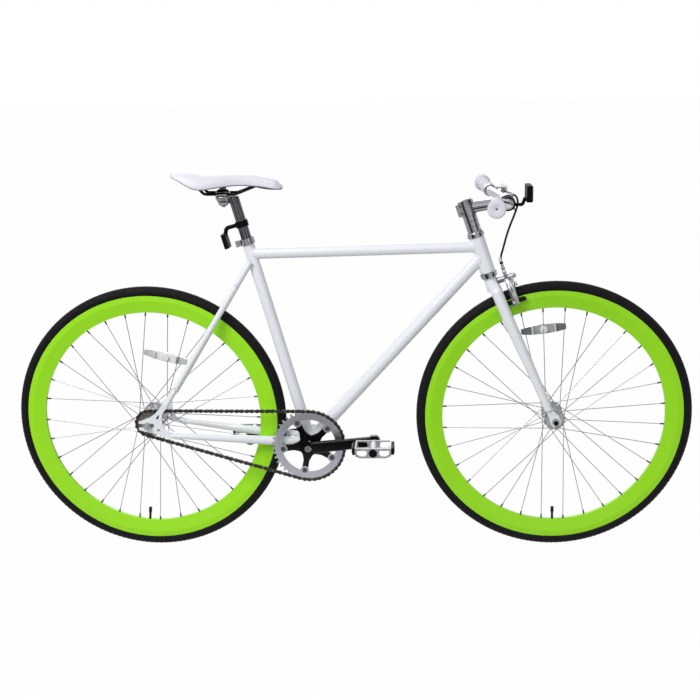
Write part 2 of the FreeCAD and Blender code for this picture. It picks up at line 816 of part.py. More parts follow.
def seat_clamp():
    """A split collar at the top of the seat tube, with its bolt behind."""
    base = seat_top - seat_direction * (sheet.seat_clamp_height - sheet.seat_clamp_stand)
    place = along(base, seat_direction)
    collar = cylinder("clamp_collar", "seat_tube_diameter / 2 + seat_clamp_wall", "seat_clamp_height", place)
    lug_reach = number("seat_tube_diameter / 2 + seat_clamp_wall + clamp_lug_length / 2 - 3")
    frame = Placement(base + seat_direction * sheet.seat_clamp_height / 2 + seat_back * lug_reach,
                      Rotation(Y_AXIS, sheet.seat_angle - 90))
    lug = block("clamp_lug", "clamp_lug_length", "clamp_lug_width", "seat_clamp_height", frame)
    bore = cylinder("clamp_bore", "seat_tube_diameter / 2", "seat_clamp_height", place)
    post_bore = "seatpost_diameter / 2 + running_clearance"
    post_room = cylinder("clamp_post_room", post_bore, "seat_clamp_height + 2", place)
    slit = block("clamp_slit", "clamp_lug_length * 2", "clamp_slit", "seat_clamp_height + 2", frame)
    bolt_middle = frame.multVec(Vector(-2, 0, 0))
    hole = cylinder("clamp_bolt_hole", "small_bolt_diameter / 2", LONG,
                    along(bolt_middle - Y_AXIS * LONG / 2, Y_AXIS))
    body = cut("clamp_body", fuse("clamp_blank", collar, lug), bore, post_room, slit, hole)
    shank = cylinder("clamp_bolt_shank", "small_bolt_diameter / 2", "clamp_bolt_length",
                     along(bolt_middle - Y_AXIS * sheet.clamp_bolt_length / 2, Y_AXIS))
    head_start = number("clamp_lug_width / 2 + small_bolt_head_height")
    head = cylinder("clamp_bolt_head", "small_bolt_head_diameter / 2", "small_bolt_head_height",
                    along(bolt_middle - Y_AXIS * head_start, Y_AXIS))
    bolt = fuse("clamp_bolt", shank, head)
    node(group("clamp_parts", body, bolt), "seat_clamp")


def headset_cups():
    """Pressed cups and their bearings at both ends of the head tube."""
    pieces = []
    bearing_bore = "steerer_diameter / 2 + running_clearance"
    cup_bore = "(head_tube_bore / 2 - 1)"
    seat = "(head_cup_diameter / 2 - 3)"
    for name, height, direction in (("lower", head_bottom, -steer_up), ("upper", head_top, steer_up)):
        place = axial(steer(0, 0, height), direction)
        lip = "head_cup_height - bearing_height - 1"
        cup = [("-head_cup_skirt", cup_bore), ("-head_cup_skirt", "head_tube_bore / 2"),
               ("0", "head_tube_bore / 2"), ("0", "head_tube_diameter / 2"),
               ("2", "head_cup_diameter / 2"), ("head_cup_height", "head_cup_diameter / 2"),
               ("head_cup_height", seat), (lip, seat), (lip, cup_bore)]
        bearing = [(lip, bearing_bore), (lip, seat), (f"{lip} + bearing_height", seat),
                   (f"{lip} + bearing_height", bearing_bore)]
        pieces.append(turned(name + "_cup", [cup], place))
        pieces.append(turned(name + "_bearing", [bearing], place))
    node(group("cups", *pieces), "headset_cups")


def bracket_cartridge():
    """Bearing cartridge screwed into the bottom bracket shell."""
    half = "bracket_shell_width / 2"
    bore = "(spindle_diameter / 2 + running_clearance)"
    lip = f"{half} + bracket_cup_lip"
    lip_radius = "bracket_shell_diameter / 2 - 1"
    outline = [(f"-{lip.replace('+', '-')}", bore), (f"-{lip.replace('+', '-')}", lip_radius),
               (f"-{half}", lip_radius), (f"-{half}", "bracket_shell_bore / 2"),
               (half, "bracket_shell_bore / 2"), (half, lip_radius), (lip, lip_radius), (lip, bore),
               (f"{half} - 12", bore), (f"{half} - 12", f"{bore} + 3"),
               (f"-{half} + 12", f"{bore} + 3"), (f"-{half} + 12", bore)]
    node(turned("cartridge", [outline], axial(bracket, Y_AXIS)), "bottom_bracket_cartridge")


# Axles, hubs and wheels

def axle_set(label, centre, diameter, spacing, dropout_thickness):
    """A threaded axle with its cones, and a washer and a nut outside each dropout."""
    half = f"({spacing} / 2)"
    outside = f"({half} + {dropout_thickness})"
    tip = f"({outside} + axle_washer_height + axle_nut_height + axle_thread_end)"
    cone_start = f"({half} - hub_end_room + free_gap)"
    radius = f"{diameter} / 2"
    outline = [(f"-{tip}", "0"), (f"-{tip}", radius), (f"-{half}", radius), (f"-{half}", "cone_diameter / 2"),
               (f"-{cone_start}", "cone_diameter / 2"), (f"-{cone_start}", radius), (cone_start, radius),
               (cone_start, "cone_diameter / 2"), (half, "cone_diameter / 2"), (half, radius), (tip, radius),
               (tip, "0")]
    pieces = [turned(label + "_rod", [outline], axial(centre, Y_AXIS))]
    for side, sign in SIDES.items():
        face = centre + Y_AXIS * sign * number(outside)
        nut_face = face + Y_AXIS * sign * sheet.axle_washer_height
        washer = cylinder(f"{label}_{side}_washer", "axle_washer_diameter / 2", "axle_washer_height",
                          along(face, Y_AXIS * sign))
        nut = hexagon(f"{label}_{side}_nut_blank", "axle_nut_flats", "axle_nut_height",
                      along(nut_face, Y_AXIS * sign))
        hole = cylinder(f"{label}_{side}_nut_hole", radius, f"{outside}", along(face, Y_AXIS * sign))
        pieces.append(cut(f"{label}_{side}_nut", fuse(f"{label}_{side}_nut_set", washer, nut), hole))
    node(group(label + "_set", *pieces), label)


def wheel_angle(index, wheel):
    """The angle of a spoke hole in the rim, counted from the valve."""
    step = 360.0 / sheet.spoke_count
    return getattr(sheet, wheel + "_valve_angle") + step * (index + 0.5)


def radial(angle, radius, across=0.0):
    """A point of a wheel in its own frame: X forward, Y left, Z up."""
    turn = math.radians(angle)
    return Vector(radius * math.cos(turn), across, radius * math.sin(turn))


def spoke_ends(index, wheel):
    """Where one spoke leaves its flange and where it enters the rim."""
    holes = sheet.spoke_count / 2
    side = 1 if index % 2 else -1
    leading = 1 if (index // 2) % 2 else -1
    outer = leading * side > 0
    swing = leading * 360.0 * sheet.spoke_crosses / holes
    rim_angle = wheel_angle(index, wheel)
    hub_radius = getattr(sheet, wheel + "_spoke_circle") / 2
    rim_radius = number("rim_diameter / 2 - rim_depth + nipple_seat")
    flange_middle = sheet.hub_flange_spacing / 2
    flange_radius = getattr(sheet, wheel + "_flange_diameter") / 2
    over_flange = math.sqrt(flange_radius ** 2 - hub_radius ** 2)
    drop = flange_middle / (rim_radius - hub_radius) * over_flange
    face = number("hub_flange_thickness / 2 + spoke_diameter / 2 + free_gap") + (drop if outer else 0.0)
    hub_point = radial(rim_angle - swing, hub_radius, side * flange_middle + leading * face)
    rim_point = radial(rim_angle, rim_radius, side * 1.2)
    return hub_point, rim_point, Y_AXIS * -leading, face


def spokes(wheel, centre):
    """Crossed spokes, each with its bent head through the flange and its nipple through the rim."""
    spoke_radius = sheet.spoke_diameter / 2
    solids = []
    rim_holes = []
    hub_holes = []
    for index in range(int(sheet.spoke_count)):
        hub_point, rim_point, inward, face = spoke_ends(index, wheel)
        elbow = face + number("hub_flange_thickness / 2 + free_gap / 3")
        run = rim_point - hub_point
        shaft = Part.makeCylinder(spoke_radius, run.Length, hub_point, run)
        corner = Part.makeSphere(spoke_radius, hub_point)
        bend = Part.makeCylinder(spoke_radius, elbow, hub_point, inward)
        head = Part.makeCylinder(spoke_radius * 1.7, spoke_radius, hub_point + inward * elbow, inward)
        nipple_start = rim_point - run.normalize() * sheet.nipple_length
        nipple = Part.makeCylinder(sheet.nipple_diameter / 2, sheet.nipple_length, nipple_start, run)
        solids.append(shaft.multiFuse([corner, bend, head, nipple]).removeSplitter())
        hole_radius = number("nipple_diameter / 2 + free_gap / 3")
        rim_holes.append(Part.makeCylinder(hole_radius, sheet.nipple_length * 2, nipple_start, run))
        hub_holes.append(Part.makeCylinder(spoke_radius + 0.1, elbow, hub_point, inward))
    shapes = []
    for name, parts in (("spoke_set", solids), ("nipple_holes", rim_holes), ("flange_holes", hub_holes)):
        obj = doc.addObject("Part::Feature", f"{wheel}_{name}")
        obj.Shape = Part.makeCompound(parts)
        obj.Placement = Placement(centre, Rotation())
        shapes.append(obj)
    node(shapes[0], wheel + "_spokes")
    return shapes[1], shapes[2]


def hub(wheel, centre, axle_diameter, spacing, end_diameter, flange_holes):
    """A flanged hub shell with a bearing bore at each end and, in the rear one, windows in its flanges."""
    bore = f"({axle_diameter} / 2 + running_clearance)"
    end = f"({spacing} / 2 - hub_end_room)"
    outer = "(hub_flange_spacing / 2 + hub_flange_thickness / 2)"
    inner = "(hub_flange_spacing / 2 - hub_flange_thickness / 2)"
    rim = wheel + "_flange_diameter / 2"
    shell = "hub_body_diameter / 2"
    inside = f"({end} - hub_bearing_length)"
    relief = f"{bore} + 3"
    outline = [
        (f"-{end}", bore), (f"-{end}", f"{end_diameter} / 2"), (f"-{outer}", f"{end_diameter} / 2"),
        (f"-{outer}", rim), (f"-{inner}", rim), (f"-{inner}", f"{shell} + 3"), (f"-{inner} + 8", shell),
        ("0", f"{shell} - 1"), (f"{inner} - 8", shell), (inner, f"{shell} + 3"), (inner, rim), (outer, rim),
        (outer, "hub_neck_diameter / 2"), (end, "hub_neck_diameter / 2"), (end, bore), (inside, bore),
        (inside, relief), (f"-{inside}", relief), (f"-{inside}", bore)]
    blank = turned(wheel + "_hub_blank", [outline], axial(centre, Y_AXIS))
    span = number(f"2 * {outer} + 2")
    windows = []
    count = int(getattr(sheet, wheel + "_hub_windows"))
    for index in range(count):
        spot = centre + radial(360.0 * index / count, sheet.hub_window_circle / 2, -span / 2)
        windows.append(cylinder(f"{wheel}_hub_window{index}", "hub_window_diameter / 2", span,
                                along(spot, Y_AXIS)))
    node(cut(wheel + "_hub_cut", blank, flange_holes, *windows), wheel + "_hub")


def rim_and_tyre(wheel, centre, nipple_holes):
    """A hollow deep rim, the tyre seated between its flanges, and the inner tube with its valve."""
    place = axial(centre, Y_AXIS)
    half = "(rim_width / 2)"
    top = "(rim_diameter / 2)"
    band = f"({top} - rim_brake_band)"
    tip = f"({top} - rim_depth)"
    floor = f"({top} - rim_channel)"
    mouth = f"({half} - rim_flange)"
    outside = [(f"-{half}", top), (f"-{half}", band), ("-rim_tip_width / 2", tip), ("rim_tip_width / 2", tip),
               (half, band), (half, top), (mouth, top), (mouth, floor), (f"-{mouth}", floor),
               (f"-{mouth}", top)]
    wall = f"({half} - rim_wall)"
    narrow = "(rim_tip_width / 2 - rim_wall * 0.7)"
    cavity = [(f"-{wall}", f"{floor} - rim_wall"), (f"-{wall}", f"{band} + rim_wall / 4"),
              (f"-{narrow}", f"{tip} + rim_wall * 1.3"), (narrow, f"{tip} + rim_wall * 1.3"),
              (wall, f"{band} + rim_wall / 4"), (wall, f"{floor} - rim_wall")]
    blank = turned(wheel + "_rim_blank", [outside, cavity], place)
    angle = getattr(sheet, wheel + "_valve_angle")
    stem_line = along(centre + radial(angle, number(f"{top} + 2")), radial(angle, -1.0))
    stem_room = "valve_stem_diameter / 2 + free_gap / 3"
    valve_hole = cylinder(wheel + "_valve_hole", stem_room, "rim_depth + 4", stem_line)
    node(cut(wheel + "_rim_cut", blank, nipple_holes, valve_hole), wheel + "_rim")

    round_place = along(centre, Y_AXIS)
    middle = "tyre_diameter / 2 - tyre_width / 2"
    carcass = ring(wheel + "_tyre_outside", middle, "tyre_width / 2", round_place)
    hollow = ring(wheel + "_tyre_inside", middle, "tyre_width / 2 - tyre_wall", round_place)
    gap_place = along(centre - Y_AXIS * sheet.tyre_bead_gap / 2, Y_AXIS)
    bead_gap = cylinder(wheel + "_bead_gap", f"{top} - 1", "tyre_bead_gap", gap_place)
    tube_room = cut(wheel + "_tyre_ring", carcass, hollow)
    seated = cut(wheel + "_tyre_seated", tube_room, blank)
    node(cut(wheel + "_tyre_cut", seated, bead_gap), wheel + "_tyre")

    bladder = ring(wheel + "_bladder", middle, "tyre_width / 2 - tyre_wall - free_gap", round_place)
    stem_start = number("tyre_diameter / 2 - tyre_width")
    stem_end = number(f"{tip} - valve_reach")
    stem = cylinder(wheel + "_valve_stem", "valve_stem_diameter / 2", stem_start + 6 - stem_end,
                    along(centre + radial(angle, stem_start + 6), radial(angle, -1.0)))
    cap = cylinder(wheel + "_valve_cap", "valve_cap_diameter / 2", "valve_reach * 0.45",
                   along(centre + radial(angle, stem_end + sheet.valve_reach * 0.4), radial(angle, -1.0)))
    node(fuse(wheel + "_tube_fuse", bladder, stem, cap), wheel + "_inner_tube")


def spoke_reflector(wheel, centre):
    """A flat reflector clipped between the spokes of the two flanges."""
    half = "spoke_reflector_length / 2"
    height = "spoke_reflector_height / 2"
    corner = "spoke_reflector_height / 4"
    outline = [(f"-{half}", f"-{height} + {corner}"), (f"-{half} + {corner}", f"-{height}"),
               (f"{half} - {corner}", f"-{height}"), (half, f"-{height} + {corner}"),
               (half, f"{height} - {corner}"), (f"{half} - {corner}", height),
               (f"-{half} + {corner}", height), (f"-{half}", f"{height} - {corner}")]
    angle = getattr(sheet, wheel + "_reflector_angle")
    radius = getattr(sheet, wheel + "_reflector_radius")
    offset = getattr(sheet, wheel + "_reflector_offset")
    place = side_view(centre + radial(angle, radius, offset))
    place = place.multiply(Placement(Vector(), Rotation(Z_AXIS, angle - 90)))
    reflector = plate(wheel + "_reflector_plate", [outline], "spoke_reflector_thickness", place)
    node(reflector, wheel + "_spoke_reflector")


def wheels():
    places = {"front": front_axle_place, "rear": rear_axle_place}
    for wheel, centre in places.items():
        nipple_holes, flange_holes = spokes(wheel, centre)
        end_diameter = "cog_thread_diameter" if wheel == "rear" else "hub_neck_diameter"
        hub(wheel, centre, f"{wheel}_axle_diameter", f"dropout_spacing_{wheel}", end_diameter, flange_holes)
        rim_and_tyre(wheel, centre, nipple_holes)
        spoke_reflector(wheel, centre)
        end_thickness = "dropout_thickness" if wheel == "rear" else "fork_tip_thickness"
        axle_set(wheel + "_axle", centre, f"{wheel}_axle_diameter", f"dropout_spacing_{wheel}", end_thickness)


# Chain and sprockets

def sprocket(name, teeth, bore, place):
    """A toothed plate: round roller seats on the pitch circle, opened outwards between the teeth."""
    body = doc.addObject("PartDesign::Body", name)
    pitch = f"(chain_pitch / (2 * sin(180deg / {teeth})))"
    sketch = sketch_on(body, [], [("0", "0", f"{pitch} + tooth_height"), ("0", "0", bore)])
    pad = body.newObject("PartDesign::Pad", name + "_pad")
    pad.Profile = sketch
    pad.Midplane = True
    bind(pad, Length="tooth_width")
    seat = "(chain_roller_diameter / 2 + roller_seat_gap)"
    flare = f"(chain_pitch / 2 * (1 + tooth_height / {pitch}) - tooth_tip_width / 2)"
    opening = [(pitch, f"-{seat}"), (f"{pitch} + tooth_height * 1.2", f"-{flare}"),
               (f"{pitch} + tooth_height * 1.2", flare), (pitch, seat)]
    cut_round(body, [opening], [(pitch, "0", seat)], teeth)
    body.Placement = place
    return body


def chain_point(distance):
    """A point of the pitch line in the side view, counted from where the top run leaves the chainring."""
    pitch = sheet.chain_pitch
    run, lean = chain_tangent(chain_span)
    back = rear_axle_place - bracket
    line = math.atan2(back.z, back.x)
    ring_radius = pitch_radius(sheet.ring_teeth)
    cog_radius = pitch_radius(sheet.cog_teeth)
    cog_wrap = sheet.cog_teeth * pitch * (math.pi - 2 * lean) / (2 * math.pi)
    top_angle = line - math.pi / 2 + lean
    low_angle = line + math.pi / 2 - lean

    def on(centre, radius, angle):
        return centre + Vector(radius * math.cos(angle), 0, radius * math.sin(angle))

    if distance < run:
        share = distance / run
        start = on(bracket, ring_radius, top_angle)
        return start + (on(rear_axle_place, cog_radius, top_angle) - start) * share
    distance -= run
    if distance < cog_wrap:
        return on(rear_axle_place, cog_radius, top_angle + distance * 2 * math.pi / (sheet.cog_teeth * pitch))
    distance -= cog_wrap
    if distance < run:
        share = distance / run
        start = on(rear_axle_place, cog_radius, low_angle)
        return start + (on(bracket, ring_radius, low_angle) - start) * share
    distance -= run
    return on(bracket, ring_radius, low_angle + distance * 2 * math.pi / (sheet.ring_teeth * pitch))


def first_seat_angle(centre, radius):
    """The angle, in degrees, of a chain roller that sits on a sprocket."""
    pins = [chain_point(index * sheet.chain_pitch) for index in range(int(sheet.chain_links))]
    nearest = min(pins, key=lambda pin: abs((pin - centre).Length - radius)
                  + max(0.0, (pin - centre).dot(rear_axle_place - bracket))
                  * (1 if centre == bracket else -1))
    return math.degrees(math.atan2(nearest.z - centre.z, nearest.x - centre.x))


def chain_link(name, plate_offset, round_radius):
    """One link in its own frame, lying along X: two waisted plates and the two round pieces between them."""
    half = sheet.chain_pitch / 2
    end_radius = sheet.chain_plate_height / 2
    waist = end_radius * 0.68
    thickness = sheet.chain_plate_thickness
    rise = math.sqrt(end_radius ** 2 - waist ** 2)
    corners = [Vector(-half + rise, waist, 0), Vector(half - rise, waist, 0),
               Vector(half + end_radius, 0, 0), Vector(half - rise, -waist, 0),
               Vector(-half + rise, -waist, 0), Vector(-half - end_radius, 0, 0)]
    edges = [Part.LineSegment(corners[0], corners[1]).toShape(),
             Part.Arc(corners[1], corners[2], corners[3]).toShape(),
             Part.LineSegment(corners[3], corners[4]).toShape(),
             Part.Arc(corners[4], corners[5], corners[0]).toShape()]
    face = Part.Face(Part.Wire(edges))
    pieces = []
    for side in (1, -1):
        start = plate_offset if side > 0 else -plate_offset - thickness
        side_plate = face.extrude(Vector(0, 0, thickness))
        side_plate.translate(Vector(0, 0, start))
        pieces.append(side_plate)
    length = 2 * (plate_offset + thickness)
    for end in (half, -half):
        pieces.append(Part.makeCylinder(round_radius, length, Vector(end, 0, -length / 2)))
    obj = doc.addObject("Part::Feature", name)
    obj.Shape = pieces[0].multiFuse(pieces[1:]).removeSplitter()
    return obj


def inner_link():
    """An inner link: its rollers fill the space between the plates, and its bores run on the pins."""
    inside = sheet.chain_inner_width / 2
    plates = chain_link("inner_link_plates", inside, sheet.chain_roller_diameter / 2)
    bore = number("chain_pin_diameter / 2 + running_clearance")
    holes = [Part.makeCylinder(bore, LONG, Vector(end * sheet.chain_pitch / 2, 0, -LONG / 2))
             for end in (1, -1)]
    obj = doc.addObject("Part::Feature", "inner_link")
    obj.Shape = plates.Shape.cut(Part.makeCompound(holes))
    return obj


def chain():
    """The closed chain, link by link along its pitch line."""
    inner = inner_link()
    offset = number("chain_inner_width / 2 + chain_plate_thickness + chain_side_gap")
    outer = chain_link("outer_link", offset, sheet.chain_pin_diameter / 2)
    pins = [chain_point(index * sheet.chain_pitch) for index in range(int(sheet.chain_links))]
    places = []
    for start, end in zip(pins, pins[1:] + pins[:1]):
        middle = (start + end) * 0.5 - Y_AXIS * sheet.chain_line
        slope = math.degrees(math.atan2(end.z - start.z, end.x - start.x))
        places.append(side_view(middle).multiply(Placement(Vector(), Rotation(Z_AXIS, slope))))
    node(copies("chain_inner", inner, places[0::2]), "chain_inner_links")
    node(copies("chain_outer", outer, places[1::2]), "chain_outer_links")


def rear_cog():
    """The fixed cog on the hub's thread and the lockring outside it."""
    turn = first_seat_angle(rear_axle_place, pitch_radius(sheet.cog_teeth))
    place = side_view(rear_axle_place - Y_AXIS * sheet.chain_line)
    place = place.multiply(Placement(Vector(), Rotation(Z_AXIS, turn)))
    cog = sprocket("cog", "cog_teeth", "cog_thread_diameter / 2", place)
    ring_face = rear_axle_place - Y_AXIS * number("chain_line + tooth_width / 2")
    lockring = sleeve("lockring", "cog_thread_diameter / 2 + 4", "cog_thread_diameter / 2", "4",
                      along(ring_face, -Y_AXIS))
    node(group("cog_set", cog, lockring), "rear_cog")


def ring_bolt_angles():
    """Spider arms stand either side of the crank arm, evenly spaced."""
    step = 360.0 / sheet.ring_bolt_count
    return [sheet.crank_angle + step * (index + 0.5) for index in range(int(sheet.ring_bolt_count))]


def chainring():
    """The chainring with a round tab at each bolt, and its bolts."""
    turn = first_seat_angle(bracket, pitch_radius(sheet.ring_teeth))
    place = side_view(bracket - Y_AXIS * sheet.chain_line)
    toothed = sprocket("ring_plate", "ring_teeth", "ring_inner_diameter / 2",
                       place.multiply(Placement(Vector(), Rotation(Z_AXIS, turn))))
    face = number("chain_line - tooth_width / 2")
    spots = [bracket + radial(angle, sheet.ring_bolt_circle / 2, -face) for angle in ring_bolt_angles()]
    tabs = [cylinder(f"ring_tab{index}", "ring_tab_diameter / 2", "tooth_width", along(spot, -Y_AXIS))
            for index, spot in enumerate(spots)]
    holes = [cylinder(f"ring_hole{index}", "ring_bolt_diameter / 2", "tooth_width", along(spot, -Y_AXIS))
             for index, spot in enumerate(spots)]
    node(cut("ring_cut", fuse("ring_blank", toothed, *tabs), *holes), "chainring")
    back = "-spider_thickness"
    front = "tooth_width"
    radius = "ring_bolt_diameter / 2"
    head = "ring_bolt_diameter / 2 + 1.5"
    outline = [(f"{back} - 1", "0"), (f"{back} - 1", head), (back, head), (back, radius), (front, radius),
               (front, head), (f"{front} + 1.2", head), (f"{front} + 1.2", "2.5"), ("0", "2.5"), ("0", "0")]
    bolts = [turned(f"ring_bolt{index}", [outline], axial(spot, -Y_AXIS)) for index, spot in enumerate(spots)]
    node(group("ring_bolts", *bolts), "chainring_bolts")


# Cranks and pedals

def crank_arm(side, sign):
    """A tapered arm that leans outwards from its boss to the pedal eye."""
    direction = crank_direction * -sign
    boss_face = sheet.crank_face * sign
    eye_face = sheet.crank_eye_face * sign
    boss_back = number("bracket_shell_width / 2 + bracket_cup_lip + free_gap") * sign
    eye = bracket + direction * sheet.crank_length
    boss = cylinder(side + "_crank_boss", "crank_boss_diameter / 2", abs(boss_face - boss_back),
                    along(bracket + Y_AXIS * boss_back, Y_AXIS * sign))
    thickness = sheet.crank_arm_thickness
    eye_disc = cylinder(side + "_crank_eye", "crank_eye_diameter / 2", "crank_arm_thickness",
                        along(eye + Y_AXIS * (eye_face - sign * thickness), Y_AXIS * sign))
    sections = []
    for share, width in ((0.05, "crank_arm_width"), (0.96, "crank_arm_end_width")):
        face = boss_face + (eye_face - boss_face) * share
        middle = bracket + direction * sheet.crank_length * share + Y_AXIS * (face - sign * thickness / 2)
        sections.append(arm_section(f"{side}_crank_section{share}", middle, direction, width))
    arm = doc.addObject("Part::Loft", side + "_crank_loft")
    arm.Sections = sections
    arm.Solid = True
    bore = cylinder(side + "_crank_bore", "spindle_end_diameter / 2", abs(boss_face - boss_back) + 4,
                    along(bracket + Y_AXIS * (boss_back - 2 * sign), Y_AXIS * sign))
    spindle_room = cylinder(side + "_spindle_room", "spindle_diameter / 2 + free_gap", "12",
                            along(bracket + Y_AXIS * (boss_back - 4 * sign), Y_AXIS * sign))
    thread = cylinder(side + "_pedal_thread", "pedal_thread_diameter / 2", "crank_arm_thickness + 4",
                      along(eye + Y_AXIS * (eye_face - sign * (thickness + 2)), Y_AXIS * sign))
    bolt_room = cylinder(side + "_bolt_room", "spindle_end_diameter / 2 + 2.3", "6",
                         along(bracket + Y_AXIS * boss_face, Y_AXIS * sign))
    return [boss, eye_disc, arm], [bore, spindle_room, bolt_room, thread]


def arm_section(name, middle, direction, width):
    """A rounded bar section square to the arm."""
    half = number(f"{width} / 2")
    thick = sheet.crank_arm_thickness / 2
    corner = min(half, thick) * 0.6
    up = direction.cross(Y_AXIS)
    corners = []
    for across, high in ((1, 1), (-1, 1), (-1, -1), (1, -1)):
        near = Vector(across * half, high * thick, 0)
        along_first = Vector(0, -high * corner, 0) if across * high > 0 else Vector(-across * corner, 0, 0)
        along_second = Vector(-across * corner, 0, 0) if across * high > 0 else Vector(0, -high * corner, 0)
        middle_point = near - Vector(across, high, 0) * corner * (1 - math.sqrt(0.5))
        corners.append((near + along_first, middle_point, near + along_second))

    def seen(point):
        return middle + up * point.x + Y_AXIS * point.y

    edges = []
    for index, (start, through, end) in enumerate(corners):
        edges.append(Part.Arc(seen(start), seen(through), seen(end)).toShape())
        edges.append(Part.LineSegment(seen(end), seen(corners[(index + 1) % 4][0])).toShape())
    obj = doc.addObject("Part::Feature", name.replace(".", "_"))
    obj.Shape = Part.Wire(edges)
    return obj


def cranks():
    """Spindle, both cranks, the five-arm spider and the pedal axles."""
    half = "(bracket_shell_width / 2 + bracket_cup_lip + 8)"
    end = "(crank_face - 8)"
    thick = "spindle_diameter / 2"
    thin = "spindle_end_diameter / 2"
    outline = [(f"-{end}", "0"), (f"-{end}", thin), (f"-{half}", thin), (f"-{half} + 2", thick),
               (f"{half} - 2", thick), (half, thin), (end, thin), (end, "0")]
    pieces = [turned("spindle", [outline], axial(bracket, Y_AXIS))]
    axles = []
    for side, sign in SIDES.items():
        bolt_base = bracket + Y_AXIS * sign * number(end)
        bolt = [("0", "0"), ("0", thin), ("8", thin), ("8", f"{thin} + 2"), ("9.5", f"{thin} + 2"),
                ("9.5", "4"), ("5", "4"), ("5", "0")]
        pieces.append(turned(side + "_crank_bolt", [bolt], axial(bolt_base, Y_AXIS * sign)))
        solids, tools = crank_arm(side, sign)
        if side == "right":
            solids += spider_arms()
            tools += spider_holes()
        node(cut(side + "_crank_cut", fuse(side + "_crank_blank", *solids), *tools), side + "_crank")
        axles.append(pedal_axle(side, sign))
        pedal(side, sign)
    node(group("spindle_set", *pieces), "crank_spindle")
    node(group("pedal_axle_set", *axles), "pedal_axles")


def spider_arms():
    """Five arms behind the chainring, narrow at the bolt and wide at the boss."""
    middle = number("chain_line - tooth_width / 2 - spider_thickness / 2")
    reach = "ring_bolt_circle / 2"
    root = "crank_boss_diameter / 2 - 5"
    edge = [(root, "spider_arm_width * 1.3"), (f"{root} + 12", "spider_arm_width * 0.8"),
            (f"{root} + 25", "spider_arm_width / 2"), (reach, "spider_arm_width / 2")]
    outline = edge + [(along_arm, f"-({half})") for along_arm, half in reversed(edge)]
    arms = []
    for index, angle in enumerate(ring_bolt_angles()):
        place = side_view(bracket - Y_AXIS * middle).multiply(Placement(Vector(), Rotation(Z_AXIS, angle)))
        arms.append(plate(f"spider_arm{index}", [outline], "spider_thickness", place))
        tip = bracket + radial(angle, sheet.ring_bolt_circle / 2, -number("chain_line - tooth_width / 2"))
        arms.append(cylinder(f"spider_tip{index}", "spider_arm_width / 2", "spider_thickness",
                             along(tip, Y_AXIS)))
    return arms


def spider_holes():
    face = -number("chain_line - tooth_width / 2")
    return [cylinder(f"spider_hole{index}", "ring_bolt_diameter / 2", "spider_thickness",
                     along(bracket + radial(angle, sheet.ring_bolt_circle / 2, face), Y_AXIS))
            for index, angle in enumerate(ring_bolt_angles())]


def pedal_centre(sign):
    return bracket + crank_direction * -sign * sheet.crank_length


def pedal_axle(side, sign):
    """A pedal axle: its thread fills the crank's eye, its shaft carries the pedal."""
    thread = "pedal_thread_diameter / 2"
    shaft = "pedal_axle_diameter / 2"
    start = "crank_eye_face - crank_arm_thickness"
    end = "pedal_start + pedal_cage_width - 8"
    outline = [(start, "0"), (start, thread), ("crank_eye_face", thread), ("crank_eye_face", f"{thread} + 2"),
               ("crank_eye_face + 6", f"{thread} + 2"), ("pedal_start - free_gap", f"{shaft} + 3"),
               ("pedal_start - free_gap", shaft), (end, shaft), (end, "0")]
    return turned(side + "_pedal_axle", [outline], axial(pedal_centre(sign), Y_AXIS * sign))


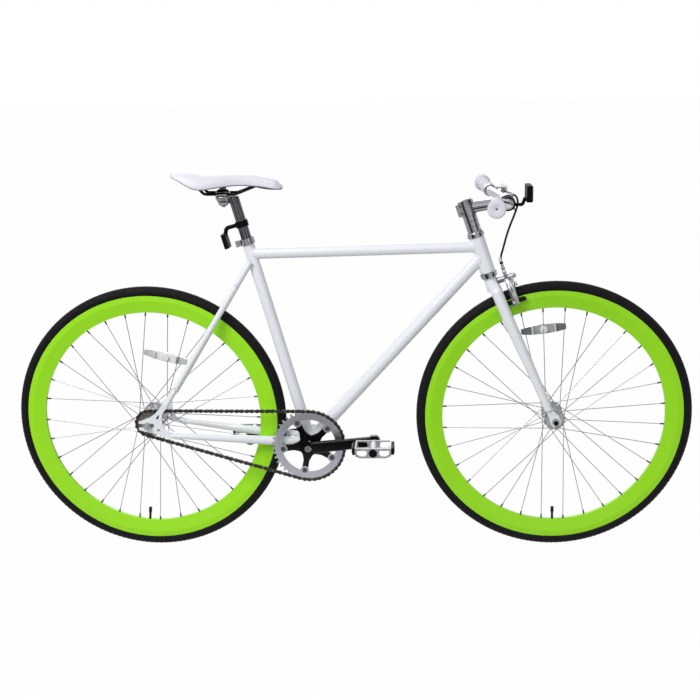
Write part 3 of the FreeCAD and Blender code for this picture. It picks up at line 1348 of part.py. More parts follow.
def pedal(side, sign):
    """An alloy cage pedal: windowed side plates, end plates and a barrel, with reflectors and a dust cap."""
    centre = pedal_centre(sign)
    half = "(pedal_cage_length / 2)"
    high = "(pedal_cage_height / 2)"
    barrel = "(pedal_barrel_diameter / 2)"
    outline = [(f"-{half}", f"-{high} + 5"), (f"-{half} + 12", f"-{high}"), (f"{half} - 12", f"-{high}"),
               (half, f"-{high} + 5"), (half, high), (f"-{half}", high)]
    window_low = f"(-{high} + pedal_plate + 1)"
    window_high = f"({high} - pedal_plate)"
    windows = []
    for end in (1, -1):
        near = f"{end} * ({barrel} + 4)"
        far = f"{end} * ({half} - pedal_plate - 1)"
        windows.append([(near, f"{window_low} + 4"), (f"{near} + {end} * 4", window_low),
                        (f"{far} - {end} * 6", window_low), (far, f"{window_low} + 5"), (far, window_high),
                        (f"{near} + {end} * 4", window_high), (near, f"{window_high} - 4")])
    shapes = []
    plate_half = number("pedal_plate / 2")
    for index, offset in enumerate((sheet.pedal_start + plate_half,
                                    sheet.pedal_start + sheet.pedal_cage_width - plate_half)):
        place = side_view(centre + Y_AXIS * sign * offset)
        shapes.append(plate(f"{side}_pedal_plate{index}", [outline, *windows], "pedal_plate", place))
    middle = sheet.pedal_start + sheet.pedal_cage_width / 2
    for index, end in enumerate((1, -1)):
        spot = centre + Vector(end * number(f"{half} - pedal_plate / 2"), sign * middle, 2.5)
        shapes.append(block(f"{side}_pedal_end{index}", "pedal_plate", "pedal_cage_width",
                            "pedal_cage_height - 5", Placement(spot, Rotation())))
        web = centre + Vector(end * number(f"{half} / 2"), sign * middle, 0)
        shapes.append(block(f"{side}_pedal_web{index}", half, "pedal_barrel_diameter * 0.6",
                            "pedal_plate * 1.2", Placement(web, Rotation())))
    start = centre + Y_AXIS * sign * sheet.pedal_start
    shapes.append(cylinder(side + "_pedal_barrel", barrel, "pedal_cage_width", along(start, Y_AXIS * sign)))
    bore = cylinder(side + "_pedal_bore", "pedal_axle_diameter / 2 + running_clearance",
                    "pedal_cage_width - 6", along(start, Y_AXIS * sign))
    node(cut(side + "_pedal_cut", fuse(side + "_pedal_blank", *shapes), bore), side + "_pedal")

    trim = []
    for index, end in enumerate((1, -1)):
        spot = centre + Vector(end * number(f"{half} + pedal_reflector_depth / 2"), sign * middle, 2.5)
        trim.append(block(f"{side}_pedal_reflector{index}", "pedal_reflector_depth", "pedal_cage_width - 14",
                          "pedal_cage_height - 7", Placement(spot, Rotation())))
    cap_place = along(start + Y_AXIS * sign * sheet.pedal_cage_width, Y_AXIS * sign)
    trim.append(cone(side + "_pedal_cap", f"{barrel} - 1", f"{barrel} - 3", "5", cap_place))
    node(group(side + "_pedal_trim", *trim), side + "_pedal_fittings")


# Fork, stem and handlebar

def fork():
    """Steerer with rounded crown shoulders, tapered raked blades and slotted tips."""
    steerer = cylinder("steerer", "steerer_diameter / 2", stem_top - blade_top,
                       along(steer(0, 0, blade_top), steer_up))
    base_collar = cylinder("crown_collar", "crown_collar_diameter / 2", sheet.fork_length - blade_top,
                           along(steer(0, 0, blade_top), steer_up))
    shoulders = []
    for side, sign in SIDES.items():
        top = steer(sheet.blade_top_offset, sign * sheet.blade_spread / 2, blade_top)
        root = steer(0, 0, blade_top + sheet.crown_drop / 2)
        shoulders.append(cylinder(side + "_shoulder", "blade_top_diameter / 2", (top - root).Length,
                                  along(root, top - root)))
        shoulders.append(ball(side + "_shoulder_end", "blade_top_diameter / 2", top))
    below_place = STEER.multiply(Placement(Vector(0, 0, blade_top - LONG), Rotation()))
    below = block("crown_below", "blade_spread * 3", "blade_spread * 3", 2 * LONG, below_place)
    bore = cylinder("steerer_bore", "steerer_diameter / 2 - steerer_wall", stem_top,
                    along(steer(0, 0, sheet.fork_length - 4), steer_up))
    bolt_hole = cylinder("crown_bolt_hole", "brake_bolt_diameter / 2", 2 * LONG,
                         along(steer(-LONG, 0, brake_bolt_height), steer_front))
    head_floor = sheet.caliper_head_height - sheet.caliper_bolt_back
    head_hole = cylinder("crown_head_hole", "brake_bolt_diameter / 2 + caliper_head_lip", LONG,
                         along(steer(head_floor, 0, brake_bolt_height), -steer_front))
    crown = fuse("crown_blank", steerer, base_collar, *shoulders)
    node(cut("crown_cut", crown, below, bore, bolt_hole, head_hole), "fork_crown")

    tips = []
    blades = []
    tip_middle = number("dropout_spacing_front / 2 + fork_tip_thickness / 2")
    for side, sign in SIDES.items():
        tip = fork_tip(side, steer(0, sign * tip_middle, 0))
        tips.append(tip)
        outer = blade_loft(side + "_blade_outside", sign, 0.0)
        inner = blade_loft(side + "_blade_inside", sign, sheet.blade_wall)
        blades.append(cut(side + "_blade", outer, inner, tip))
    node(group("blades", *blades, *tips), "fork_blades")


def blade_loft(name, sign, wall):
    """One fork blade through four round sections from the crown to the tip."""
    tip_middle = number("dropout_spacing_front / 2 + fork_tip_thickness / 2")
    lowest = sheet.blade_tip_height + (sheet.blade_solid_end if wall else 0.0)
    stations = []
    for share, bow in ((0.0, 0.0), (0.35, 0.31), (0.7, 0.71), (1.0, 1.0)):
        up = blade_top + (lowest - blade_top) * share
        front = sheet.blade_top_offset + (sheet.blade_tip_offset - sheet.blade_top_offset) * bow
        across = sheet.blade_spread / 2 + (tip_middle - sheet.blade_spread / 2) * share
        taper = max(0.0, share - 0.2) / 0.8
        diameter = sheet.blade_top_diameter + (sheet.blade_tip_diameter - sheet.blade_top_diameter) * taper
        stations.append((steer(front, sign * across, up), -steer_up, diameter / 2 - wall))
    return lofted(name, stations)


def fork_tip(side, base):
    """A flat fork end: a tongue let into the blade and a slot that opens downwards."""
    half_slot = "(front_axle_diameter / 2 + free_gap)"
    tongue_top = "blade_tip_height + fork_tongue_length"
    foot = "-fork_tip_drop"
    outline = [("fork_rake - fork_tip_half_width + 1", "10"), ("blade_tip_offset - 6", "blade_tip_height"),
               ("blade_tip_offset - 5", tongue_top), ("blade_tip_offset + 4", tongue_top),
               ("blade_tip_offset + 8", "blade_tip_height"), ("fork_rake + fork_tip_half_width - 1", "10"),
               ("fork_rake + fork_tip_half_width", "-3"), (f"fork_rake + {half_slot} + 4", foot),
               (f"fork_rake + {half_slot}", foot), (f"fork_rake + {half_slot}", half_slot),
               (f"fork_rake - {half_slot}", half_slot), (f"fork_rake - {half_slot}", foot),
               (f"fork_rake - {half_slot} - 4", foot), ("fork_rake - fork_tip_half_width", "-3")]
    place = Placement(base, STEER.Rotation.multiply(Rotation(X_AXIS, 90)))
    return plate(side + "_fork_tip", [outline], "fork_tip_thickness", place)


def headset_rings():
    """Chromed rings round the steerer: crown race, top cover and spacers, and the cap on top of the stem."""
    bore = "steerer_diameter / 2"
    race_height = number("head_stack_lower - head_cup_height - free_gap")
    pieces = [sleeve("crown_race", "head_cup_diameter / 2 - 1", bore, race_height,
                     along(steer(0, 0, sheet.fork_length), steer_up))]
    cover_base = number("head_cup_height + free_gap")
    cover_top = f"head_stack_upper - {cover_base}"
    cover = [("0", bore), ("0", "head_cup_diameter / 2 - 1"), ("2", "head_cup_diameter / 2 - 1"),
             (cover_top, "spacer_diameter / 2"), (cover_top, bore)]
    pieces.append(turned("top_cover", [cover], axial(steer(0, 0, head_top + cover_base), steer_up)))
    count = int(sheet.spacer_count)
    height = sheet.spacer_stack / count
    chamfer = 0.8
    full = "spacer_diameter / 2"
    small = f"{full} - {chamfer}"
    for index in range(count):
        spacer = [("0", bore), ("0", small), (f"{chamfer}", full), (f"{height - chamfer}", full),
                  (f"{height}", small), (f"{height}", bore)]
        base = steer(0, 0, spacer_bottom + height * index)
        pieces.append(turned(f"spacer{index}", [spacer], axial(base, steer_up)))
    cap = [("0", "0"), ("0", full), ("top_cap_height - 2", full), ("top_cap_height", f"{full} - 4"),
           ("top_cap_height", "4"), ("top_cap_height - 3", "4"), ("top_cap_height - 3", "0")]
    pieces.append(turned("top_cap", [cap], axial(steer(0, 0, stem_top), steer_up)))
    node(group("headset_ring_set", *pieces), "headset_spacers")


def stem():
    """A clamp on the steerer, a tapered neck and a split bar clamp with its faceplate and bolts."""
    steerer_clamp = cylinder("stem_clamp", "stem_clamp_diameter / 2", "stem_clamp_height",
                             along(steer(0, 0, stem_bottom), steer_up))
    neck = cone("stem_neck", "stem_neck_diameter / 2", "stem_neck_diameter / 2 - stem_neck_taper / 2",
                "stem_length", along(steer(0, 0, stem_middle), stem_direction))
    bar_left = bar_centre + Y_AXIS * sheet.bar_clamp_width / 2
    bar_clamp = cylinder("bar_clamp", "bar_clamp_diameter / 2", "bar_clamp_width", along(bar_left, -Y_AXIS))
    ear_reach = number("stem_clamp_diameter / 2 - 1")
    ear_frame = STEER.multiply(Placement(Vector(-ear_reach, 0, stem_middle), Rotation()))
    ear = block("stem_ear", "stem_ear_length", "stem_ear_width", "stem_clamp_height - 6", ear_frame)
    bore = cylinder("stem_bore", "steerer_diameter / 2", "stem_clamp_height + 80",
                    along(steer(0, 0, stem_bottom - 40), steer_up))
    bar_bore = cylinder("bar_bore", "bar_centre_diameter / 2", "bar_clamp_width + 20",
                        along(bar_left + Y_AXIS * 10, -Y_AXIS))
    slit = block("stem_slit", LONG, "clamp_slit", "stem_clamp_height + 10", ear_frame)
    tools = [bore, bar_bore, slit, front_half("faceplate_space", 1.0)]
    bolts = []
    head_side = number("stem_ear_width / 2")
    bolt_level = sheet.stem_clamp_height / 4
    for index, level in enumerate((bolt_level, -bolt_level)):
        seat = ear_frame.multVec(Vector(-2, -head_side, level))
        bolts.append(socket_bolt(f"pinch_bolt{index}", seat, Y_AXIS))
        tools.append(cylinder(f"pinch_hole{index}", "small_bolt_diameter / 2", "stem_ear_width",
                              along(seat, Y_AXIS)))
    face_solid = common("faceplate_common", bar_clamp, front_half("faceplate_front", 1.5))
    clamp_up = stem_direction.cross(-Y_AXIS)
    face_tools = []
    level = number("bar_clamp_diameter / 2 - 3.4")
    across = sheet.face_bolt_spacing / 2
    for index, (left, up) in enumerate(((1, 1), (-1, 1), (1, -1), (-1, -1))):
        seat = bar_centre + Y_AXIS * across * left + clamp_up * level * up + stem_direction * 12
        bolts.append(socket_bolt(f"face_bolt{index}", seat, -stem_direction))
        tools.append(cylinder(f"face_hole{index}", "small_bolt_diameter / 2", LONG,
                              along(seat + stem_direction * 8, -stem_direction)))
        face_tools.append(tools[-1])
        face_tools.append(cylinder(f"face_head_room{index}", "small_bolt_head_diameter / 2 + 0.4", LONG / 2,
                                   along(seat, stem_direction)))
    body = cut("stem_body", fuse("stem_blank", steerer_clamp, neck, bar_clamp, ear), *tools)
    faceplate = cut("faceplate", face_solid, bar_bore, *face_tools)
    node(group("stem_set", body, faceplate), "stem")
    node(group("stem_bolt_set", *bolts), "stem_bolts")


def front_half(name, gap):
    """The space ahead of the bar's middle, from a gap in front of it."""
    reach = number("bar_clamp_diameter / 4") + gap
    place = Placement(bar_centre + stem_direction * reach, Rotation(Y_AXIS, -sheet.stem_rise))
    return block(name, "bar_clamp_diameter / 2", "bar_clamp_width + 4", "bar_clamp_diameter + 4", place)


def socket_bolt(name, head_seat, direction):
    """A cap screw whose head stands behind its seat and whose shank runs along the direction."""
    shank = "small_bolt_diameter / 2"
    head = "small_bolt_head_diameter / 2"
    socket = "key_socket_diameter / 2"
    top = "-small_bolt_head_height"
    outline = [(top, socket), (top, head), ("0", head), ("0", shank), ("small_bolt_length", shank),
               ("small_bolt_length", "0"), (f"{top} + key_socket_depth", "0"),
               (f"{top} + key_socket_depth", socket)]
    return turned(name, [outline], axial(head_seat, direction))


def bar_points(sign):
    """Half of the handlebar's line: level in the clamp, a short rise, then the grip."""
    lift = Vector(-sheet.bar_sweep, 0, sheet.bar_rise)
    return [bar_centre + Y_AXIS * sign * across + lift * share
            for across, share in ((0, 0.0), (sheet.bar_level_reach, 0.0),
                                  (sheet.bar_corner_reach, sheet.bar_corner_share),
                                  (sheet.bar_half_width, 1.0))]


def handlebar():
    """The swept bar with its thicker middle, and a grip on each end."""
    bend = sheet.bar_bend_radius
    halves = [swept(side + "_bar", bar_points(sign), "bar_diameter / 2", bend)
              for side, sign in SIDES.items()]
    middle_left = bar_centre + Y_AXIS * sheet.bar_centre_width / 2
    middle = cylinder("bar_middle", "bar_centre_diameter / 2", "bar_centre_width",
                      along(middle_left, -Y_AXIS))
    hollows = [swept(side + "_bar_hollow", bar_points(sign), "bar_diameter / 2 - bar_wall", bend)
               for side, sign in SIDES.items()]
    node(cut("bar_cut", fuse("bar_blank", middle, *halves), *hollows), "handlebar")
    grips = []
    for side, sign in SIDES.items():
        points = bar_points(sign)
        inward = (points[2] - points[3]).normalize()
        bore = "bar_diameter / 2"
        flange = "grip_flange_diameter / 2"
        full = "grip_diameter / 2"
        outline = [("-grip_end_wall", "0"), ("-grip_end_wall", f"{flange} - 1.5"),
                   ("-grip_end_wall + 1.5", flange), ("grip_flange_width - grip_end_wall", flange),
                   ("grip_flange_width - grip_end_wall + 3", f"{full} + 0.6"),
                   ("grip_length * 0.5", f"{full} - 0.8"), ("grip_length - 8", f"{full} + 0.4"),
                   ("grip_length - 5", f"{full} + 2"), ("grip_length", f"{full} + 1"),
                   ("grip_length", bore), ("0", bore), ("0", "0")]
        grips.append(turned(side + "_grip", [outline], axial(points[3], inward)))
    node(group("grip_pair", *grips), "grips")


# Front brake

arm_middles = {"right": sheet.arm_start + sheet.arm_diameter / 2,
               "left": sheet.arm_start + sheet.arm_diameter * 1.5 + sheet.arm_gap}
pad_level = number("rim_diameter / 2 - pad_depth")


def caliper():
    """A side-pull caliper: two curved arms on one bolt, a shoe on each, and the cable adjuster."""
    start = "-caliper_bolt_back"
    arms_start = "arm_start - arm_gap / 2"
    end = "arm_start + 2 * arm_diameter + 2 * arm_gap"
    nut_end = f"{end} + caliper_nut_height"
    radius = "brake_bolt_diameter / 2"
    spacer = "arm_boss_diameter / 2 - 1"
    head = f"{radius} + caliper_head_lip"
    head_end = f"{start} + caliper_head_height"
    crown_face = "crown_collar_diameter / 2"
    outline = [(start, "0"), (start, head), (head_end, head), (head_end, radius), (crown_face, radius),
               (crown_face, spacer),
               (arms_start, spacer), (arms_start, radius), (end, radius), (end, f"{radius} + 3.5"),
               (nut_end, f"{radius} + 3.5"), (nut_end, radius), (f"{nut_end} + 3", radius),
               (f"{nut_end} + 3", "0")]
    bolt = turned("caliper_bolt_turned", [outline], axial(steer(0, 0, brake_bolt_height), steer_front))
    node(bolt, "caliper_bolt")
    for side, sign in SIDES.items():
        brake_arm(side, sign)


def brake_arm(side, sign):
    """One caliper arm: a boss on the bolt, a bow round the tyre and a lever towards the cable side."""
    depth = arm_middles[side]
    spread = sheet.arm_spread / 2
    pivot = steer(depth, 0, brake_bolt_height)
    bow = [pivot, steer(depth, sign * spread * 0.62, brake_bolt_height + 3),
           steer(depth, sign * spread, brake_bolt_height - 24),
           steer(depth, sign * spread * 0.94, pad_level - 4)]
    radius = "arm_diameter / 2"
    back = depth - sheet.arm_diameter / 2
    shapes = [swept(side + "_arm_bow", bow, radius, sheet.arm_bend_radius),
              ball(side + "_arm_end", radius, bow[3]),
              cylinder(side + "_arm_boss", "arm_boss_diameter / 2", "arm_diameter",
                       along(steer(back, 0, brake_bolt_height), steer_front))]
    stop_level = brake_bolt_height + (sheet.right_stop_rise if side == "right" else -sheet.left_stop_drop)
    stop = steer(depth, -sheet.cable_offset, stop_level)
    lever = [pivot, steer(depth, sheet.cable_offset * -0.55, (brake_bolt_height + stop_level) / 2 + 2), stop]
    shapes.append(swept(side + "_arm_lever", lever, radius, sheet.arm_lever_bend_radius))
    shapes.append(ball(side + "_arm_lever_end", radius, stop))
    bolt_hole = cylinder(side + "_arm_hole", "brake_bolt_diameter / 2 + running_clearance",
                         "arm_diameter + 4", along(steer(back - 2, 0, brake_bolt_height), steer_front))
    shoe_face = number("rim_width / 2 + pad_rim_gap + pad_thickness")
    shoe_hole = cylinder(side + "_shoe_hole", "shoe_stud_diameter / 2", LONG,
                         along(steer(depth, sign * shoe_face, pad_level), Y_AXIS * sign))
    fitting, fitting_hole = (cable_adjuster if side == "right" else cable_anchor)(stop)
    arm = cut(side + "_arm_cut", fuse(side + "_arm_blank", *shapes), bolt_hole, shoe_hole, fitting_hole)
    node(group(side + "_arm_set", arm, fitting), side + "_brake_arm")

    shoe_middle = number("rim_width / 2 + pad_rim_gap + pad_thickness / 2")
    shoe_frame = STEER.multiply(Placement(Vector(sheet.fork_rake, sign * shoe_middle, pad_level), Rotation()))
    shoe = block(side + "_shoe_block", "pad_length", "pad_thickness", "pad_height", shoe_frame)
    stud = cylinder(side + "_shoe_stud", "shoe_stud_diameter / 2", spread + 10 - shoe_face,
                    along(steer(depth, sign * (shoe_face - 0.5), pad_level), Y_AXIS * sign))
    nut = hexagon(side + "_shoe_nut", "shoe_nut_flats", "shoe_nut_height",
                  along(steer(depth, sign * (spread + 6), pad_level), Y_AXIS * sign))
    node(fuse(side + "_shoe", shoe, stud, nut), side + "_brake_pad")


def cable_adjuster(stop):
    """The barrel that stops the cable's housing on the right arm, and its hole."""
    thread = "shoe_stud_diameter / 2"
    outline = [("-8", "0"), ("-8", thread), ("6", thread), ("6", "5"), ("12", "5"), ("13", "4"),
               ("adjuster_height", "3.5"), ("adjuster_height", "0")]
    hole = cylinder("adjuster_hole", thread, LONG, along(stop - steer_up * LONG / 2, steer_up))
    return turned("adjuster", [outline], axial(stop, steer_up)), hole


def cable_anchor(stop):
    """The bolt that pinches the cable's wire on the left arm, and its hole."""
    shank = "small_bolt_diameter / 2"
    head = "anchor_head_diameter / 2"
    back = "-arm_diameter / 2"
    front = "arm_diameter / 2 + 0.4"
    outline = [(back, "0"), (back, shank), (front, shank), (front, head), (f"{front} + 4.6", head),
               (f"{front} + 4.6", "0")]
    hole = cylinder("anchor_hole", shank, LONG, along(stop - steer_front * LONG / 2, steer_front))
    return turned("cable_anchor", [outline], axial(stop, steer_front)), hole


def bar_spot(across):
    """The middle of the bar at a distance to the left of its clamp, on its outer straight."""
    points = bar_points(1)
    share = (across - points[2].y) / (points[3].y - points[2].y)
    return points[2] + (points[3] - points[2]) * share


def brake_lever():
    """A clamp with a pivot ahead of the bar, and a curved two-finger blade."""
    spot = bar_spot(sheet.lever_place)
    direction = (bar_points(1)[3] - bar_points(1)[2]).normalize()
    width = sheet.lever_collar_width
    pivot = lever_pivot()
    reach = pivot - spot
    height = "lever_blade_height + 2 * lever_cheek"
    pin_place = along(pivot - Z_AXIS * number(f"({height}) / 2"), Z_AXIS)
    collar = cylinder("lever_collar", "bar_diameter / 2 + lever_collar_wall", width,
                      along(spot - direction * width / 2, direction))
    lug = block("lever_lug", reach.Length, width, height,
                Placement(spot + reach * 0.5, Rotation(X_AXIS, Vector(reach.x, reach.y, 0))))
    boss = cylinder("lever_boss", "lever_boss_diameter / 2", height, pin_place)
    ferrule = cylinder("lever_ferrule", "ferrule_diameter / 2", "ferrule_length",
                       along(cable_points()[0] + Y_AXIS * sheet.ferrule_length, -Y_AXIS))
    blank = fuse("lever_bracket_blank", collar, lug, boss, ferrule)
    bar_hole = cylinder("lever_bar_hole", "bar_diameter / 2", LONG,
                        along(spot - direction * LONG / 2, direction))
    slot = block("lever_slot", "lever_slot_size", "lever_slot_size", "lever_blade_height + 2 * free_gap",
                 Placement(pivot + Vector(9, 13, 0), Rotation()))
    pin_hole = cylinder("lever_pin_hole", "lever_pin_diameter / 2", height, pin_place)
    bracket_body = cut("lever_bracket_cut", blank, bar_hole, slot, pin_hole)
    pin = cylinder("lever_pin", "lever_pin_diameter / 2", height, pin_place)
    node(group("lever_bracket_set", bracket_body, pin), "brake_lever_bracket")

    half = "lever_blade_thickness / 2"
    bend = "lever_length * 0.6"
    points = [("-6", "-6"), ("6", "-6"), ("9", "6"), ("14", "30"), (f"12 + {half}", bend),
              (f"8 + {half}", "lever_length - 4"), (f"10 + {half}", "lever_length"),
              ("8", "lever_length + 3"), (f"6 - {half}", "lever_length"), (f"7 - {half}", bend), ("6", "30"),
              ("-6", "6")]
    blade = plate("lever_blade", [points], "lever_blade_height", Placement(pivot, Rotation()))
    knob = ball("lever_knob", "lever_blade_height / 2", pivot + Vector(8, sheet.lever_length + 2, 0))
    hole = cylinder("lever_blade_hole", "lever_pin_diameter / 2 + running_clearance", height, pin_place)
    node(cut("lever_blade_cut", fuse("lever_blade_blank", blade, knob), hole), "brake_lever_blade")


def lever_pivot():
    spot = bar_spot(sheet.lever_place)
    return spot + Vector(sheet.lever_reach * 0.7, -2, 0)


def cable_points():
    """The brake cable's line from the lever, round the head of the bicycle and down to the adjuster."""
    seat_gap = 0.4
    top = steer(arm_middles["right"], -sheet.cable_offset,
                brake_bolt_height + sheet.right_stop_rise + sheet.adjuster_height + seat_gap)
    pivot = lever_pivot()
    return [pivot + Vector(2, -24, 0), pivot + Vector(2, -46, 0), Vector(398, 52, 884), Vector(409, 24, 880),
            Vector(410, 0, 866), Vector(402, -13, 845), Vector(391, -19, 820), Vector(382, -22, 795),
            Vector(374, -24, 764), top + steer_up * 14, top]


def brake_cable():
    node(swept("cable", cable_points(), "cable_diameter / 2"), "brake_cable")


# Reflectors

def front_reflector():
    """A bracket clamped on the bar beside the stem, holding an upright reflector."""
    spot = bar_centre - Y_AXIS * sheet.bar_reflector_offset
    bore = "bar_centre_diameter / 2"
    band_start = spot + Y_AXIS * sheet.bar_reflector_band / 2
    collar = sleeve("front_reflector_collar", f"{bore} + 4", bore, "bar_reflector_band",
                    along(band_start, -Y_AXIS))
    arm_points = [spot + Vector(14, 0, -2), spot + Vector(34, 0, -2), spot + Vector(40, 0, 14)]
    arm = swept("front_reflector_arm", arm_points, "bar_reflector_arm_diameter / 2", 5.0)
    bar_room = cylinder("front_reflector_room", f"{bore} + 2", LONG, along(spot + Y_AXIS * LONG / 2, -Y_AXIS))
    housing = block("front_reflector_housing", "bar_reflector_depth", "bar_reflector_width",
                    "bar_reflector_height", Placement(spot + Vector(48, 0, 25), Rotation()))
    arm_cut = cut("front_reflector_arm_cut", arm, bar_room)
    node(fuse("front_reflector_fuse", collar, arm_cut, housing), "front_reflector")


def rear_reflector():
    """A band round the seatpost with an arm down to an upright reflector."""
    spot = seat_top + seat_direction * sheet.post_reflector_height
    bore = "seatpost_diameter / 2"
    band = sleeve("rear_reflector_band", f"{bore} + 3", bore, "post_reflector_band",
                  along(spot, seat_direction))
    middle = spot + seat_direction * sheet.post_reflector_band / 2
    arm_points = [middle + seat_back * 14, middle + seat_back * 40,
                  middle + seat_back * 47 - seat_direction * 16]
    arm = swept("rear_reflector_arm", arm_points, "post_reflector_arm_diameter / 2", 9.0)
    post_room = cylinder("rear_reflector_room", f"{bore} + 1", LONG,
                         along(middle - seat_direction * LONG / 2, seat_direction))
    frame = Placement(middle + seat_back * 50 - seat_direction * 29, Rotation(Y_AXIS, sheet.seat_angle - 90))
    housing = block("rear_reflector_housing", "post_reflector_depth", "post_reflector_width",
                    "post_reflector_tall", frame)
    arm_cut = cut("rear_reflector_arm_cut", arm, post_room)
    node(fuse("rear_reflector_fuse", band, arm_cut, housing), "rear_reflector")


# Seat

def clamp_centre():
    """The middle of the saddle clamp, behind the top of the seatpost."""
    post_top = seat_top + seat_direction * sheet.seatpost_height
    return post_top + Vector(-sheet.saddle_clamp_setback, 0, sheet.saddle_clamp_rise)


def rail_points(sign):
    """One saddle rail: up into the rear socket, level in the clamp, up and inwards to the nose."""
    centre = clamp_centre()
    half = sign * sheet.rail_spread / 2
    stations = ((-60, 1.15, 21), (-42, 1.0, 1), (32, 1.0, 0), (84, 0.55, 19), (108, 0.4, 21))
    return [centre + Vector(ahead, half * share, up) for ahead, share, up in stations]


def seatpost():
    """A tubular post with a forged head that reaches back to the saddle clamp."""
    start = seat_top - seat_direction * sheet.seatpost_insertion
    length = "seatpost_insertion + seatpost_height"
    tube = cylinder("post_tube", "seatpost_diameter / 2", length, along(start, seat_direction))
    top = seat_top + seat_direction * sheet.seatpost_height
    dome = ball("post_dome", "seatpost_diameter / 2", top)
    centre = clamp_centre()
    cradle_face = centre - Z_AXIS * sheet.cradle_drop
    neck_foot = cradle_face - Z_AXIS * sheet.cradle_height / 2
    neck_run = top - neck_foot
    neck = cylinder("post_neck", "post_neck_diameter / 2", neck_run.Length, along(neck_foot, neck_run))
    cradle = cylinder("post_cradle", "cradle_diameter / 2", "cradle_height",
                      along(cradle_face - Z_AXIS * sheet.cradle_height, Z_AXIS))
    hollow = cylinder("post_hollow", "seatpost_diameter / 2 - seatpost_wall", f"{length} - post_solid_end",
                      along(start, seat_direction))
    bolt_room = cylinder("post_bolt_room", "clamp_stud_diameter / 2", 2 * LONG,
                         along(centre - Z_AXIS * LONG, Z_AXIS))
    head_floor = cradle_face - Z_AXIS * sheet.cradle_height
    head_room = cylinder("post_head_room", "clamp_stud_flats / 2 + 1.2", LONG, along(head_floor, -Z_AXIS))
    above = block("post_above", 2 * LONG, 2 * LONG, LONG,
                  Placement(cradle_face + Vector(10, 0, LONG / 2), Rotation()))
    blank = fuse("post_blank", tube, dome, neck, cradle)
    node(cut("post_cut", blank, hollow, bolt_room, head_room, above), "seatpost")


def saddle_clamp():
    """Lower and upper rail plates drawn together by one bolt through the post's cradle."""
    centre = clamp_centre()
    width = number("rail_spread + 2 * clamp_plate_margin")
    rails = [swept(f"rail_space{sign}", rail_points(sign), "rail_diameter / 2", sheet.rail_bend_radius)
             for sign in SIDES.values()]
    hole = cylinder("clamp_hole", "clamp_stud_diameter / 2", 2 * LONG, along(centre - Z_AXIS * LONG, Z_AXIS))
    rise = number("clamp_plate_height / 2 + clamp_plate_gap / 2")
    lower = block("clamp_lower", "clamp_plate_length", width, "clamp_plate_height",
                  Placement(centre - Z_AXIS * rise, Rotation()))
    upper = block("clamp_upper", "clamp_plate_length - 4", width, "clamp_plate_height",
                  Placement(centre + Z_AXIS * rise, Rotation()))
    dome = cone("clamp_dome", "12", "7", "5", along(centre + Z_AXIS * sheet.cradle_drop, Z_AXIS))
    lower_cut = cut("clamp_lower_cut", lower, hole, *rails)
    upper_cut = cut("clamp_upper_cut", fuse("clamp_upper_blank", upper, dome), hole, *rails)
    shank = cylinder("clamp_stud", "clamp_stud_diameter / 2", "36", along(centre - Z_AXIS * 21, Z_AXIS))
    head = hexagon("clamp_stud_head", "clamp_stud_flats", "5", along(centre - Z_AXIS * 25, Z_AXIS))
    nut = hexagon("clamp_stud_nut", "clamp_stud_flats - 1", "4", along(centre + Z_AXIS * 12, Z_AXIS))
    bolt = fuse("clamp_stud_set", shank, head, nut)
    node(group("saddle_clamp_set", lower_cut, upper_cut, bolt), "saddle_clamp")


SADDLE_STATIONS = (
    # place from tail to nose, half width as a share, top, lower edge; heights above the clamp
    (0.000, 0.62, 57, 47),
    (0.065, 0.84, 61, 43),
    (0.150, 0.97, 61, 31),
    (0.220, 1.00, 58, 21),
    (0.300, 0.97, 54, 17),
    (0.420, 0.80, 52, 20),
    (0.600, 0.50, 49, 23),
    (0.780, 0.33, 44, 19),
    (0.930, 0.26, 33, 12),
    (1.000, 0.12, 18, 10),
)


def saddle_section(name, station):
    """A closed section across the saddle: a crowned top, rounded sides and a level underside."""
    place, share, top, edge = station
    centre = clamp_centre()
    half = share * sheet.saddle_width / 2
    x = centre.x - sheet.saddle_tail + place * sheet.saddle_length
    top_z = centre.z + top
    edge_z = centre.z + edge
    middle_z = edge_z + (top_z - edge_z) * 0.42
    shoulder = half * 0.78
    shoulder_z = edge_z + (top_z - edge_z) * 0.86
    tuck = half * 0.86

    def at(y, z):
        return Vector(x, y, z)

    edges = [Part.LineSegment(at(-tuck, edge_z), at(tuck, edge_z)).toShape(),
             Part.Arc(at(tuck, edge_z), at(half, middle_z), at(shoulder, shoulder_z)).toShape(),
             Part.Arc(at(shoulder, shoulder_z), at(0, top_z), at(-shoulder, shoulder_z)).toShape(),
             Part.Arc(at(-shoulder, shoulder_z), at(-half, middle_z), at(-tuck, edge_z)).toShape()]
    obj = doc.addObject("Part::Feature", name)
    obj.Shape = Part.Wire(edges)
    return obj


def base_section(name, station):
    """A section of the moulded base: a flat plate let into the cover's underside."""
    place, share, _, edge = station
    centre = clamp_centre()
    half = share * sheet.saddle_width / 2 * 0.8
    inset = 3.0
    x = centre.x - sheet.saddle_tail + inset + place * (sheet.saddle_length - 2 * inset)
    low = centre.z + edge - sheet.saddle_base_thickness / 2
    high = low + sheet.saddle_base_thickness
    corners = [Vector(x, -half, low), Vector(x, half, low), Vector(x, half, high), Vector(x, -half, high)]
    obj = doc.addObject("Part::Feature", name)
    obj.Shape = Part.makePolygon(corners + corners[:1])
    return obj


